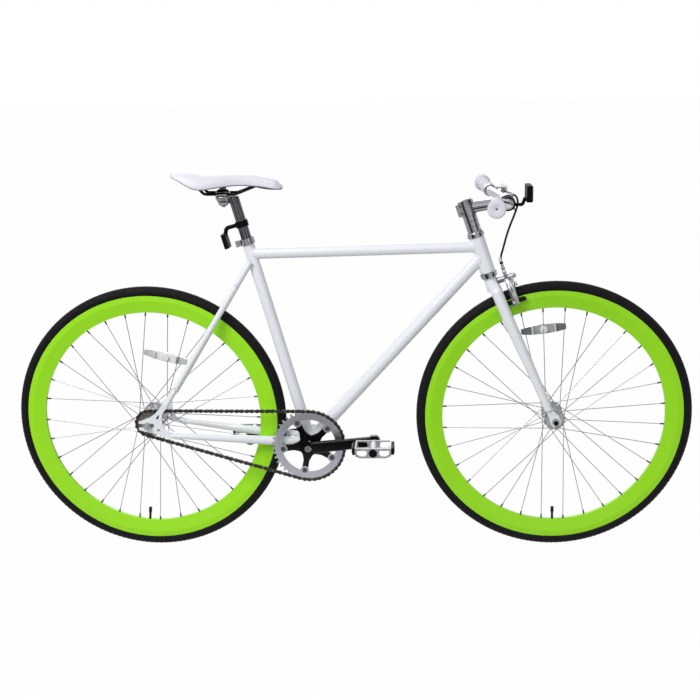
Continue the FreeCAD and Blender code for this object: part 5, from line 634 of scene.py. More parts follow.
def about_axis(tree, coords, centre):
    """Distance from an axle's line and angle round it, for turned and wheel patterns."""
    moved = put(tree, "ShaderNodeVectorMath", {0: coords, 1: tuple(centre)}, operation="SUBTRACT")
    parts = put(tree, "ShaderNodeSeparateXYZ", {0: moved.outputs[0]})
    flat = put(tree, "ShaderNodeCombineXYZ", {0: parts.outputs["X"], 2: parts.outputs["Z"]})
    radius = put(tree, "ShaderNodeVectorMath", {0: flat.outputs[0]}, operation="LENGTH")
    angle = put(tree, "ShaderNodeMath", {0: parts.outputs["Z"], 1: parts.outputs["X"]}, operation="ARCTAN2")
    return radius.outputs["Value"], angle.outputs[0], parts.outputs["Y"]


def turned_alloy(name, colour, centre, roughness):
    """Turned aluminium: rings left by the lathe round the part's own axle."""
    material, tree, coords = begin(name)
    radius, _, _ = about_axis(tree, coords, centre)
    scaled = put(tree, "ShaderNodeMath", {0: radius, 1: 1 / (2.2 * MM)}, operation="MULTIPLY")
    rings = put(tree, "ShaderNodeTexNoise", {"W": scaled.outputs[0], "Scale": 1.0, "Detail": 2.0},
                noise_dimensions="1D")
    spread = put(tree, "ShaderNodeMapRange", {"Value": rings.outputs["Fac"], 1: 0.3, 2: 0.7,
                                              3: roughness * 0.8, 4: roughness * 1.25})
    end(tree, {"Base Color": mottled(tree, coords, 18 * MM, shaded(colour, 0.9), colour), "Metallic": 1.0,
               "Roughness": spread.outputs[0]}, rings.outputs["Fac"], 0.012 * MM)
    return material


def fluted_alloy(name, colour, base, axis, flutes):
    """Polished alloy post: shallow flutes run along it between bright lands, and painted shade darkens the
    flutes to about a third.
    """
    material, tree, coords = begin(name)
    moved = put(tree, "ShaderNodeVectorMath", {0: coords, 1: tuple(base)}, operation="SUBTRACT")
    ahead = put(tree, "ShaderNodeVectorMath", {0: moved.outputs[0], 1: tuple(LEFT.cross(axis))},
                operation="DOT_PRODUCT")
    aside = put(tree, "ShaderNodeVectorMath", {0: moved.outputs[0], 1: tuple(LEFT)},
                operation="DOT_PRODUCT")
    angle = put(tree, "ShaderNodeMath", {0: aside.outputs["Value"], 1: ahead.outputs["Value"]},
                operation="ARCTAN2")
    turns = put(tree, "ShaderNodeMath", {0: angle.outputs[0], 1: float(flutes)}, operation="MULTIPLY")
    wave = put(tree, "ShaderNodeMath", {0: turns.outputs[0]}, operation="SINE")
    land = put(tree, "ShaderNodeMapRange", {"Value": wave.outputs[0], 1: 0.2, 2: 0.8, 3: 0.0, 4: 1.0})
    # Painted shade: the flutes' colour is darkened to about a third of the lands' colour.
    tone = put(tree, "ShaderNodeMix", {0: land.outputs[0], 6: shaded(colour, 0.35),
                                       7: mottled(tree, coords, 9 * MM, shaded(colour, 0.85), colour)},
               data_type="RGBA")
    end(tree, {"Base Color": tone.outputs[2], "Metallic": 1.0,
               "Roughness": varied(tree, coords, 5 * MM, 0.34, 0.46)}, land.outputs[0], 0.1 * MM)
    return material


def drawn_spokes(name, colour, nipple_colour, centre, nipple_radius):
    """Drawn stainless wire, bright along its length, with darker plated nipples near the rim."""
    material, tree, coords = begin(name)
    radius, _, _ = about_axis(tree, coords, centre)
    share = put(tree, "ShaderNodeMath", {0: radius, 1: nipple_radius}, operation="GREATER_THAN")
    wire = mottled(tree, coords, 9 * MM, shaded(colour, 0.8), colour)
    tone = put(tree, "ShaderNodeMix", {0: share.outputs[0], 6: wire, 7: nipple_colour}, data_type="RGBA")
    end(tree, {"Base Color": tone.outputs[2], "Metallic": 1.0,
               "Roughness": varied(tree, coords, 4 * MM, 0.22, 0.36)},
        fine_grain(tree, coords, 1.0 * MM), 0.01 * MM)
    return material


def tyre_rubber(name, colour, centre):
    """Vulcanised rubber: matt black, with moulded rings on the sidewall and a fine grain all over."""
    material, tree, coords = begin(name)
    radius, angle, across = about_axis(tree, coords, centre)
    rings = put(tree, "ShaderNodeMath", {0: radius, 1: 2 * math.pi / (2.4 * MM)}, operation="MULTIPLY")
    wave = put(tree, "ShaderNodeMath", {0: rings.outputs[0]}, operation="SINE")
    side = put(tree, "ShaderNodeMath", {0: radius, 1: TREAD_EDGE}, operation="LESS_THAN")
    ringed = put(tree, "ShaderNodeMath", {0: wave.outputs[0], 1: side.outputs[0]}, operation="MULTIPLY")
    cuts_round = 420.0
    slant_rate = 900.0
    ribs = put(tree, "ShaderNodeMath", {0: angle, 1: cuts_round}, operation="MULTIPLY")
    slant = put(tree, "ShaderNodeMath", {0: across, 1: slant_rate}, operation="MULTIPLY")
    spread = put(tree, "ShaderNodeMath", {0: slant.outputs[0]}, operation="ABSOLUTE")
    chevron = put(tree, "ShaderNodeMath", {0: ribs.outputs[0], 1: spread.outputs[0]}, operation="ADD")
    file_cut = put(tree, "ShaderNodeMath", {0: chevron.outputs[0]}, operation="SINE")
    top = put(tree, "ShaderNodeMath", {0: radius, 1: TREAD_EDGE + 0.5 * MM}, operation="GREATER_THAN")
    tread = put(tree, "ShaderNodeMath", {0: file_cut.outputs[0], 1: top.outputs[0]}, operation="MULTIPLY")
    both = put(tree, "ShaderNodeMath", {0: ringed.outputs[0], 1: tread.outputs[0]}, operation="ADD")
    grain = fine_grain(tree, coords, 0.8 * MM)
    height = put(tree, "ShaderNodeMath", {0: both.outputs[0], 1: grain}, operation="ADD")
    end(tree, {"Base Color": mottled(tree, coords, 30 * MM, shaded(colour, 0.75), colour),
               "Roughness": varied(tree, coords, 12 * MM, 0.55, 0.75), "Specular IOR Level": 0.14},
        height.outputs[0], 0.07 * MM)
    return material


def oiled_steel(name, colour):
    """Dark chain steel: oil and brake dust leave brown-black patches over dull metal."""
    material, tree, coords = begin(name)
    end(tree, {"Base Color": mottled(tree, coords, 3 * MM, shaded(colour, 0.45), colour), "Metallic": 0.85,
               "Roughness": varied(tree, coords, 2 * MM, 0.28, 0.55)},
        fine_grain(tree, coords, 0.7 * MM), 0.02 * MM)
    return material


def plated_steel(name, colour):
    """Nickel plate on steel: a hard bright skin with faint tool marks and dull spots."""
    material, tree, coords = begin(name)
    end(tree, {"Base Color": mottled(tree, coords, 6 * MM, shaded(colour, 0.8), colour), "Metallic": 1.0,
               "Roughness": varied(tree, coords, 3 * MM, 0.14, 0.3)},
        fine_grain(tree, coords, 0.6 * MM), 0.008 * MM)
    return material


def moulded_plastic(name, colour, roughness, mirror):
    """Injection-moulded plastic: a fine sparked texture that scatters its highlights."""
    material, tree, coords = begin(name)
    cells = put(tree, "ShaderNodeTexVoronoi", {"Vector": coords, "Scale": 1 / (0.9 * MM)})
    end(tree, {"Base Color": mottled(tree, coords, 15 * MM, shaded(colour, 0.8), colour),
               "Roughness": varied(tree, coords, 8 * MM, roughness * 0.85, roughness * 1.15),
               "Specular IOR Level": mirror},
        cells.outputs["Distance"], 0.03 * MM)
    return material


def soft_rubber(name, colour, mirror):
    """Moulded soft rubber: a dusty even skin with a very fine grain."""
    material, tree, coords = begin(name)
    end(tree, {"Base Color": mottled(tree, coords, 10 * MM, shaded(colour, 0.93), colour),
               "Roughness": varied(tree, coords, 6 * MM, 0.5, 0.68), "Specular IOR Level": mirror},
        fine_grain(tree, coords, 0.5 * MM), 0.012 * MM)
    return material


def grained_vinyl(name, colour):
    """Synthetic leather stretched over foam: small pebbled cells with creases between them."""
    material, tree, coords = begin(name)
    cells = put(tree, "ShaderNodeTexVoronoi", {"Vector": coords, "Scale": 1 / (1.4 * MM)},
                feature="DISTANCE_TO_EDGE")
    pebble = put(tree, "ShaderNodeMapRange", {"Value": cells.outputs["Distance"], 1: 0.0, 2: 0.25, 3: 0.0,
                                              4: 1.0})
    end(tree, {"Base Color": mottled(tree, coords, 25 * MM, shaded(colour, 0.95), colour),
               "Roughness": varied(tree, coords, 10 * MM, 0.36, 0.5), "IOR": 1.48},
        pebble.outputs[0], 0.035 * MM)
    return material


def prismatic_acrylic(name, colour, cell):
    """Clear moulded acrylic: rows of small prisms behind a glossy face; painted shade darkens each prism
    towards its rim.
    """
    material, tree, coords = begin(name)
    cells = put(tree, "ShaderNodeTexVoronoi", {"Vector": coords, "Scale": 1 / cell, "Randomness": 0.0})
    # Painted shade: the colour darkens to about half towards each prism's rim, in the creases between
    # prisms.
    tone = put(tree, "ShaderNodeMix", {0: cells.outputs["Distance"], 6: colour, 7: shaded(colour, 0.55)},
               data_type="RGBA")
    end(tree, {"Base Color": tone.outputs[2], "Roughness": 0.12, "IOR": 1.49, "Transmission Weight": 0.25,
               "Coat Weight": 0.8, "Coat Roughness": 0.04}, cells.outputs["Distance"], 0.3 * MM)
    return material


# Sizes and colours that a user would change

class BikeColours(bpy.types.PropertyGroup):
    """Colours of the bicycle's finishes."""

    def tint(label, words, code):
        """A colour setting from an sRGB hex code."""
        return FloatVectorProperty(name=label, description=words, subtype="COLOR", size=4, min=0.0, max=1.0,
                                   default=linear(code))

    frame: tint("Frame", "Enamel on frame and fork", "F1F4FA")
    rim: tint("Rims", "Enamel on both rims", "A1EC26")
    tyre: tint("Tyres", "Rubber of tyres, inner tubes and brake shoes", "141316")
    spoke: tint("Spokes", "Stainless wire", "A9A9AC")
    nipple: tint("Nipples", "Plated spoke nipples", "4A4A4C")
    stem: tint("Stem", "Polished alloy of stem, spacers and clamps", "9C9EA4")
    post: tint("Seatpost", "Fluted alloy of the seatpost", "7F8188")
    silver: tint("Silver parts", "Alloy of handlebar and brake", "BFC1C6")
    pedal: tint("Pedals", "Cast alloy of the pedals, dull plate of the axles", "B9BABF")
    hub: tint("Hubs", "Turned alloy of the hubs", "C6C7CB")
    ring: tint("Chainring", "Turned alloy of the chainring", "C4C5CF")
    plate: tint("Plated steel", "Nickel plate on spindles and bolts", "A9A9AD")
    cog: tint("Cog", "Browned steel of the cog", "938A80")
    links: tint("Outer links", "Blackened steel of the outer links", "4A4743")
    bolt: tint("Chainring bolts", "Dark steel of the chainring bolts", "77777C")
    chain: tint("Chain", "Oiled steel of the inner links", "77706A")
    crank: tint("Cranks", "Black enamel on cranks and saddle rails", "0B0B0C")
    black: tint("Black plastic", "Plastic of reflector housings, saddle base and caps", "0B0B0C")
    saddle: tint("Saddle", "Synthetic leather of the saddle", "EDEAF5")
    grip: tint("Grips", "Rubber of the grips", "DFDDE9")
    clear: tint("Clear lens", "Clear acrylic of the reflectors", "EDEFEF")
    # The front spoke reflector's two tints are painted shade on clear acrylic. Its middle field is darkened
    # and its ends more so, while the rear reflector keeps a pale tone.
    shade: tint("Lens field", "Middle field of the front spoke reflector", "C2C8C7")
    lens_end_shade: tint("Dark lens", "Dark ends of the front spoke reflector", "8A9395")
    haze: tint("Pale lens", "Lens of the rear spoke reflector", "F4F6F5")
    red: tint("Red lens", "Red acrylic of the rear reflector", "B3111A")
    amber: tint("Amber lens", "Amber acrylic of the pedal reflectors", "D5700B")
    ferrule: tint("Ferrule", "White plastic of the cable ferrule", "E4E4E8")


class BikeSizes(bpy.types.PropertyGroup):
    """Sizes of the trim that is added to the solids."""

    def length(label, words, value):
        """A length setting; the value is in millimetres."""
        return FloatProperty(name=label, description=words, unit="LENGTH", min=0.0, default=value * MM)

    weld: length("Weld bead", "Radius of a weld bead", 1.5)
    stud_length: length("Stud length", "Length of a tread stud", 6.0)
    stud_width: length("Stud width", "Width of a tread stud", 1.8)
    stud_height: length("Stud height", "Height of a tread stud above the tyre", 0.7)
    rib_spacing: length("Rib spacing", "Distance between the ribs of a grip", 3.4)
    rib_radius: length("Rib radius", "Radius of a grip's rib", 0.8)
    stitch_pitch: length("Stitch pitch", "Distance between saddle stitches", 4.0)
    stitch_length: length("Stitch length", "Length of one saddle stitch", 3.0)
    thread: length("Thread", "Diameter of the saddle's thread", 0.8)
    prism: length("Prism", "Radius of one lens prism", 2.0)
    cable: length("Cable", "Diameter of the brake cable's housing", 5.0)
    studs: IntProperty(name="Studs", description="Tread studs in one row round a tyre", min=12, default=170)


def colours():
    return bpy.context.scene.bike_colours


def sizes():
    return bpy.context.scene.bike_sizes


def made(name, maker, *values):
    """A material by name, made the first time that it is asked for."""
    return bpy.data.materials.get(name) or maker(name, *values)


def frame_paint():
    return made("white_gloss_enamel", gloss_enamel, tuple(colours().frame), 0.26, 0.35, 0.4)


def black_plastic():
    return made("black_moulded_plastic", moulded_plastic, tuple(colours().black), 0.5, 0.07)


def silver_alloy():
    return made("polished_silver_alloy", polished_alloy, tuple(colours().silver), 0.22, (1, 1, 0.2))


def plated():
    return made("nickel_plated_steel", plated_steel, tuple(colours().plate))


# Operators, one for each group of like pieces

class BIKE_OT_finishes(bpy.types.Operator):
    """Give every solid of the bicycle its finish"""
    bl_idname = "bike.finishes"
    bl_label = "Finishes"

    def execute(self, context):
        tints = colours()
        white = frame_paint()
        green = made("green_gloss_enamel", gloss_enamel, tuple(tints.rim), 0.34, 0.1, 0.2)
        dark = made("black_gloss_enamel", gloss_enamel, tuple(tints.crank), 0.12, 0.08, 0.14)
        grey = made("polished_grey_alloy", polished_alloy, tuple(tints.stem), 0.16, (1, 1, 0.15))
        chain = made("oiled_chain_steel", oiled_steel, tuple(tints.chain))
        rubber = made("black_soft_rubber", soft_rubber, tuple(tints.tyre), 0.15)
        clear = made("clear_prismatic_acrylic", prismatic_acrylic, tuple(tints.clear), 3 * MM)
        ring = made("turned_ring_alloy", turned_alloy, tuple(tints.ring), BRACKET, 0.34)
        cast = made("cast_pedal_alloy", polished_alloy, tuple(tints.pedal), 0.5, (1, 1, 1))
        dull = made("dull_plated_steel", polished_alloy, tuple(tints.pedal), 0.55, (1, 1, 1))
        finishes = {
            white: ("head_tube", "top_tube", "down_tube", "seat_tube", "bottom_bracket_shell", "chainstays",
                    "seatstays", "rear_dropouts", "fork_crown", "fork_blades"),
            green: ("front_rim", "rear_rim"),
            dark: ("right_crank", "left_crank", "saddle_rails"),
            grey: ("stem", "headset_spacers", "headset_cups", "saddle_clamp", "seat_clamp"),
            made("fluted_post_alloy", fluted_alloy, tuple(tints.post), BRACKET, SEAT_UP, 11): ("seatpost",),
            silver_alloy(): ("handlebar", "brake_lever_blade", "right_brake_arm", "left_brake_arm",
                             "brake_lever_bracket"),
            cast: ("right_pedal", "left_pedal"),
            dull: ("front_axle", "rear_axle"),
            plated(): ("crank_spindle", "pedal_axles", "stem_bolts", "caliper_bolt",
                       "bottom_bracket_cartridge"),
            made("browned_cog_steel", oiled_steel, tuple(tints.cog)): ("rear_cog",),
            made("blackened_link_steel", oiled_steel, tuple(tints.links)): ("chain_outer_links",),
            made("dark_bolt_steel", oiled_steel, tuple(tints.bolt)): ("chainring_bolts",),
            chain: ("chain_inner_links",),
            ring: ("chainring",),
            rubber: ("front_inner_tube", "rear_inner_tube", "right_brake_pad", "left_brake_pad"),
            clear: ("front_spoke_reflector", "rear_spoke_reflector"),
            black_plastic(): ("saddle_base", "front_reflector", "rear_reflector", "right_pedal_fittings",
                              "left_pedal_fittings", "brake_cable"),
            made("white_soft_rubber", soft_rubber, tuple(tints.grip), 0.4): ("grips",),
            made("white_grained_vinyl", grained_vinyl, tuple(tints.saddle)): ("saddle_cover",),
        }
        for wheel, axle in WHEELS.items():
            hub = made(wheel + "_turned_hub_alloy", turned_alloy, tuple(tints.hub), axle, 0.5)
            spokes = made(wheel + "_drawn_spoke_steel", drawn_spokes, tuple(tints.spoke),
                          tuple(tints.nipple), axle, NIPPLE_START)
            tyre = made(wheel + "_tyre_rubber", tyre_rubber, tuple(tints.tyre), axle)
            finishes[hub] = (wheel + "_hub",)
            finishes[spokes] = (wheel + "_spokes",)
            finishes[tyre] = (wheel + "_tyre",)
        for material, names in finishes.items():
            for name in names:
                slots = NODES[name].data.materials
                slots.clear()
                slots.append(material)
        return {"FINISHED"}


class BIKE_OT_tread(bpy.types.Operator):
    """Set rows of small studs on both tyres"""
    bl_idname = "bike.tread"
    bl_label = "Tread"

    def execute(self, context):
        tree = ring_of_studs_tree()
        size = sizes()
        for wheel, axle in WHEELS.items():
            rubber = bpy.data.materials[wheel + "_tyre_rubber"]
            rows = []
            for side in (1, -1):
                across = STUD_ACROSS * side
                lean = math.asin(across / TYRE_TUBE)
                radius = TYRE_MIDDLE + TYRE_TUBE * math.cos(lean) - STUD_SINK
                values = {"Count": size.studs, "Radius": radius, "Across": across,
                          "Tilt": -lean, "Turn": STUD_TURN * side, "Length": size.stud_length,
                          "Width": size.stud_width, "Height": size.stud_height, "Centre": axle,
                          "Shift": 0.5 if side > 0 else 0.0, "Material": rubber}
                rows.append(grown(tree, values))
            piece(wheel + "_tread", joined(wheel + "_tread", rows), rubber, wheel + "_wheel",
                  smooth=False)
        return {"FINISHED"}


class BIKE_OT_saddle(bpy.types.Operator):
    """Lay a padded cover with two stitched seams over the saddle's base"""
    bl_idname = "bike.saddle"
    bl_label = "Saddle"

    def execute(self, context):
        low, high = (Vector(corner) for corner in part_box("saddle_cover"))
        length = high.x - low.x
        half_width = (high.y - low.y) / 2
        rings = []
        for index in range(SADDLE_RINGS + 1):
            place = 0.5 - 0.5 * math.cos(math.pi * index / SADDLE_RINGS)
            x = low.x + length * place
            from_end = min(x - low.x, high.x - x)
            shrink = math.sqrt(max(1 - (1 - min(from_end / SADDLE_END_ROUND, 1.0)) ** 2, 0.0))
            rings.append(self.section(place, x, half_width, high.z, shrink))
        skin = made("white_grained_vinyl", grained_vinyl, tuple(colours().saddle))
        cover = piece("saddle_cover_skin", lofted("saddle_cover_skin", rings), skin, "seatpost")
        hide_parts("saddle_cover")
        tree = stitch_tree()
        size = sizes()
        seams = []
        places = [SEAM_START + SEAM_RUN * step / SEAM_STEPS for step in range(SEAM_STEPS + 1)]
        for side in (1, -1):
            line = [self.on_side(place, low, length, half_width, high.z, side) for place in places]
            values = {"Pitch": size.stitch_pitch, "Length": size.stitch_length, "Thread": size.thread,
                      "Material": skin}
            seams.append(grown(tree, values, path_mesh(line, False)))
        piece("saddle_stitches", joined("saddle_stitches", seams), skin, "seatpost")
        inner = rings[HEM_INSET:-HEM_INSET]
        hem = [ring[0] for ring in inner] + [ring[SADDLE_AROUND] for ring in reversed(inner)]
        values = {"Radius": HEM_RADIUS, "Ripple": 0.0, "Ripple length": 1.0, "Material": black_plastic()}
        bead = grown(tree_once("weld_bead", bead_tree), values, path_mesh(hem, True))
        piece("saddle_hem", bead, black_plastic(), "seatpost")
        shell = lofted("saddle_nose_shell", self.nose_sections(low, length, half_width, high.z))
        piece("saddle_nose_shell", shell, black_plastic(), "seatpost")
        return {"FINISHED"}

    def nose_sections(self, low, length, half_width, top, steps=24):
        """Sections of the shell under the nose, deepest near its middle and narrower to the front."""
        sections = []
        for step in range(steps + 1):
            share = step / steps
            place = NOSE_START + NOSE_RUN * share
            width, _, edge_drop = between(SADDLE_ROWS, place)
            deep = Vector((0, 0, NOSE_DEPTH * math.sin(math.pi * share ** 0.7) ** 0.6 + 0.2 * MM))
            spot = Vector((low.x + length * place, 0, top - edge_drop * MM + NOSE_LIFT))
            across = LEFT * half_width * width * (NOSE_WIDTH - NOSE_TAPER * share)
            keel = across * NOSE_KEEL
            sections.append([spot + across, spot + keel - deep, spot - keel - deep, spot - across])
        return sections

    def section(self, place, x, half_width, top, shrink):
        """One closed section of the cover: a crowned top, a full side and a tucked lower edge."""
        share, top_drop, edge_drop = between(SADDLE_ROWS, place)
        half = half_width * min(share, 1.0) * shrink
        crown = top - max(top_drop, 0.0) * MM
        edge = top - edge_drop * MM
        middle = (crown + edge) / 2
        ring = []
        for index in range(SADDLE_AROUND + 1):
            angle = math.pi * index / SADDLE_AROUND
            side = squared_off(math.cos(angle), 0.8)
            height = edge + (crown - edge) * math.sin(angle) ** 0.75
            ring.append(Vector((x, half * side, middle + (height - middle) * shrink)))
        for share_in, lift in SADDLE_TUCK:
            level = edge + lift * MM
            ring.append(Vector((x, half * share_in, middle + (level - middle) * shrink)))
        return ring

    def on_side(self, place, low, length, half_width, top, side):
        """A point of the seam, a little above the cover's lower edge."""
        share, top_drop, edge_drop = between(SADDLE_ROWS, place)
        height = top - edge_drop * MM + (edge_drop - top_drop) * MM * math.sin(SEAM_ANGLE) ** 0.75
        across = half_width * share * math.cos(SEAM_ANGLE) ** 0.8
        return Vector((low.x + length * place, side * across, height))


class BIKE_OT_grips(bpy.types.Operator):
    """Turn two ribbed rubber grips with a flanged, dimpled end"""
    bl_idname = "bike.grips"
    bl_label = "Grips"

    def execute(self, context):
        rubber = made("white_soft_rubber", soft_rubber, tuple(colours().grip), 0.4)
        size = sizes()
        tree = rib_tree()
        grips = []
        plugs = []
        for side in (1, -1):
            end = BAR_CENTRE + Vector((BAR_BACK, side * BAR_HALF, BAR_RISE))
            inner = Vector((BAR_BACK * (1 - BAR_CORNER), side * BAR_GRIP, BAR_RISE * (1 - BAR_CORNER)))
            axis = (BAR_CENTRE + inner - end).normalized()
            grips.append(turned("grip", in_metres(GRIP_PROFILE), end, axis))
            plugs.append(turned("plug", in_metres(PLUG_PROFILE), end, axis, 20))
            turn = UP.rotation_difference(axis).to_euler()
            values = {"Count": RIB_COUNT, "Radius": RIB_CIRCLE, "Rib": size.rib_radius,
                      "Spacing": size.rib_spacing, "Start": end + axis * RIB_START,
                      "Rotation": Vector(turn), "Material": rubber}
            grips.append(grown(tree, values))
        obj = piece("ribbed_grips", joined("ribbed_grips", grips), rubber, "steering")
        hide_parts("grips")
        piece("grip_plugs", joined("grip_plugs", plugs), black_plastic(), "steering")
        return {"FINISHED"}


class BIKE_OT_welds(bpy.types.Operator):
    """Run a rippled weld bead round each joint of the main tubes"""
    bl_idname = "bike.welds"
    bl_label = "Welds"

    def execute(self, context):
        head = (STEER_FOOT, STEER_UP, HEAD_RADIUS)
        seat = (BRACKET, SEAT_UP, SEAT_RADIUS)
        shell = (BRACKET, LEFT, SHELL_RADIUS)
        top_middle = (TOP_BACK + TOP_FRONT) / 2
        down_middle = (BRACKET + DOWN_FRONT) / 2
        seat_middle = BRACKET + SEAT_UP * 0.25
        joints = [(top_middle, TOP_FRONT - TOP_BACK, TOP_RADIUS, *head),
                  (top_middle, TOP_BACK - TOP_FRONT, TOP_RADIUS, *seat),
                  (down_middle, DOWN_FRONT - BRACKET, DOWN_RADIUS, *head),
                  (down_middle, BRACKET - DOWN_FRONT, DOWN_RADIUS, *shell),
                  (seat_middle, -SEAT_UP, SEAT_RADIUS, *shell)]
        tree = tree_once("weld_bead", bead_tree)
        beads = []
        for joint in joints:
            values = {"Radius": sizes().weld, "Ripple": WELD_RIPPLE, "Ripple length": WELD_RIPPLE_LENGTH,
                      "Material": frame_paint()}
            beads.append(grown(tree, values, path_mesh(tube_joint(*joint), True)))
        piece("weld_beads", joined("weld_beads", beads), frame_paint(), "frame")
        return {"FINISHED"}


class BIKE_OT_cable(bpy.types.Operator):
    """Run the brake cable from the lever to the caliper, with its ferrule and end ring"""
    bl_idname = "bike.cable"
    bl_label = "Brake cable"

    def execute(self, context):
        stop = BRAKE_BOLT + STEER_FRONT * CABLE_DEPTH - LEFT * CABLE_OFFSET + STEER_UP * CABLE_RISE
        lever_end = LEVER_PIVOT + CABLE_START
        free = [Vector(point) for point in CABLE_ROUTE]
        points = [lever_end, lever_end - LEFT * CABLE_STRAIGHT_TOP, *free,
                  stop + STEER_UP * CABLE_STRAIGHT_FOOT, stop]
        line = bpy.data.curves.new("brake_cable_housing", "CURVE")
        line.dimensions = "3D"
        line.bevel_depth = sizes().cable / 2
        line.bevel_resolution = 4
        line.use_fill_caps = True
        spline = line.splines.new("NURBS")
        spline.points.add(len(points) - 1)
        for spot, point in zip(spline.points, points):
            spot.co = (*point, 1.0)
        spline.order_u = 3
        spline.use_endpoint_u = True
        spline.resolution_u = 8
        line.materials.append(made("black_cable_vinyl", soft_rubber, tuple(colours().black), 0.2))
        cable = placed("brake_cable_housing", line)
        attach(cable, "steering")
        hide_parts("brake_cable")
        white = made("white_moulded_plastic", moulded_plastic, tuple(colours().ferrule), 0.4, 0.4)
        ferrule = turned("cable_ferrule", in_metres(FERRULE_PROFILE), stop + STEER_UP * FERRULE_RISE,
                         STEER_UP, 32)
        collar = turned("cable_ring", in_metres(CABLE_RING_PROFILE), stop + STEER_UP * CABLE_RING_RISE,
                        STEER_UP, 32)
        ferrule_piece = piece("cable_ferrule", ferrule, white, "steering")
        ring_piece = piece("cable_ring", collar, black_plastic(), "steering")
        return {"FINISHED"}


class BIKE_OT_lenses(bpy.types.Operator):
    """Set prismatic lenses on the bar, seatpost and pedal reflectors"""
    bl_idname = "bike.lenses"
    bl_label = "Reflector lenses"

    def execute(self, context):
        tints = colours()
        clear = made("clear_lens_acrylic", prismatic_acrylic, tuple(tints.clear), 4 * MM)
        red = made("red_lens_acrylic", prismatic_acrylic, tuple(tints.red), 4 * MM)
        amber = made("amber_lens_acrylic", prismatic_acrylic, tuple(tints.amber), 4 * MM)
        low, high = (Vector(corner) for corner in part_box("front_reflector"))
        face = Vector((high.x, (low.y + high.y) / 2, high.z - FRONT_LENS_DROP))
        self.lens("front_lens", FRONT_LENS, face, LEFT, UP, clear, "steering")
        back = Vector((-SEAT_UP.z, 0, SEAT_UP.x))
        post_face = POST_REFLECTOR + back * (POST_REFLECTOR_DEPTH / 2 - REAR_LENS_SINK)
        self.lens("rear_lens", REAR_LENS, post_face, -LEFT, SEAT_UP, red, "seatpost")
        for side in ("right", "left"):
            low, high = (Vector(corner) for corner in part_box(side + "_pedal_fittings"))
            spot = Vector(JOINTS[side + "_pedal_spin"]["pos_m"])
            sign = 1 if side == "left" else -1
            for end, way, x in (("front", 1, high.x), ("back", -1, low.x)):
                place = Vector((x, sign * PEDAL_LENS_ASIDE, spot.z + PEDAL_LENS_RISE))
                self.lens(f"{side}_pedal_lens_{end}", PEDAL_LENS, place, LEFT * way, UP, amber,
                          side + "_pedal")
        return {"FINISHED"}

    def lens(self, name, size, place, across, up, material, body):
        """A slab with a field of prisms on its face; its size is in millimetres."""
        width, height, depth = size
        radius = sizes().prism
        slab = rounded_slab(name, width * MM, height * MM, depth * MM, LENS_CORNER, place, across, up)
        outward = across.cross(up).normalized()
        turn = Matrix((across, up, outward)).transposed().to_euler()
        wide = (width - LENS_MARGIN) * MM
        tall = (height - LENS_MARGIN) * MM
        values = {"Across": wide, "Up": tall, "Columns": int(wide / (2 * radius)) + 1,
                  "Rows": int(tall / (2 * radius)) + 1, "Radius": radius, "Height": PRISM_HEIGHT,
                  "Place": place + outward * depth * MM, "Rotation": Vector(turn), "Material": material}
        prisms = grown(tree_once("lens_prisms", prism_tree), values)
        piece(name, joined(name, [slab, prisms]), material, body, smooth=False)


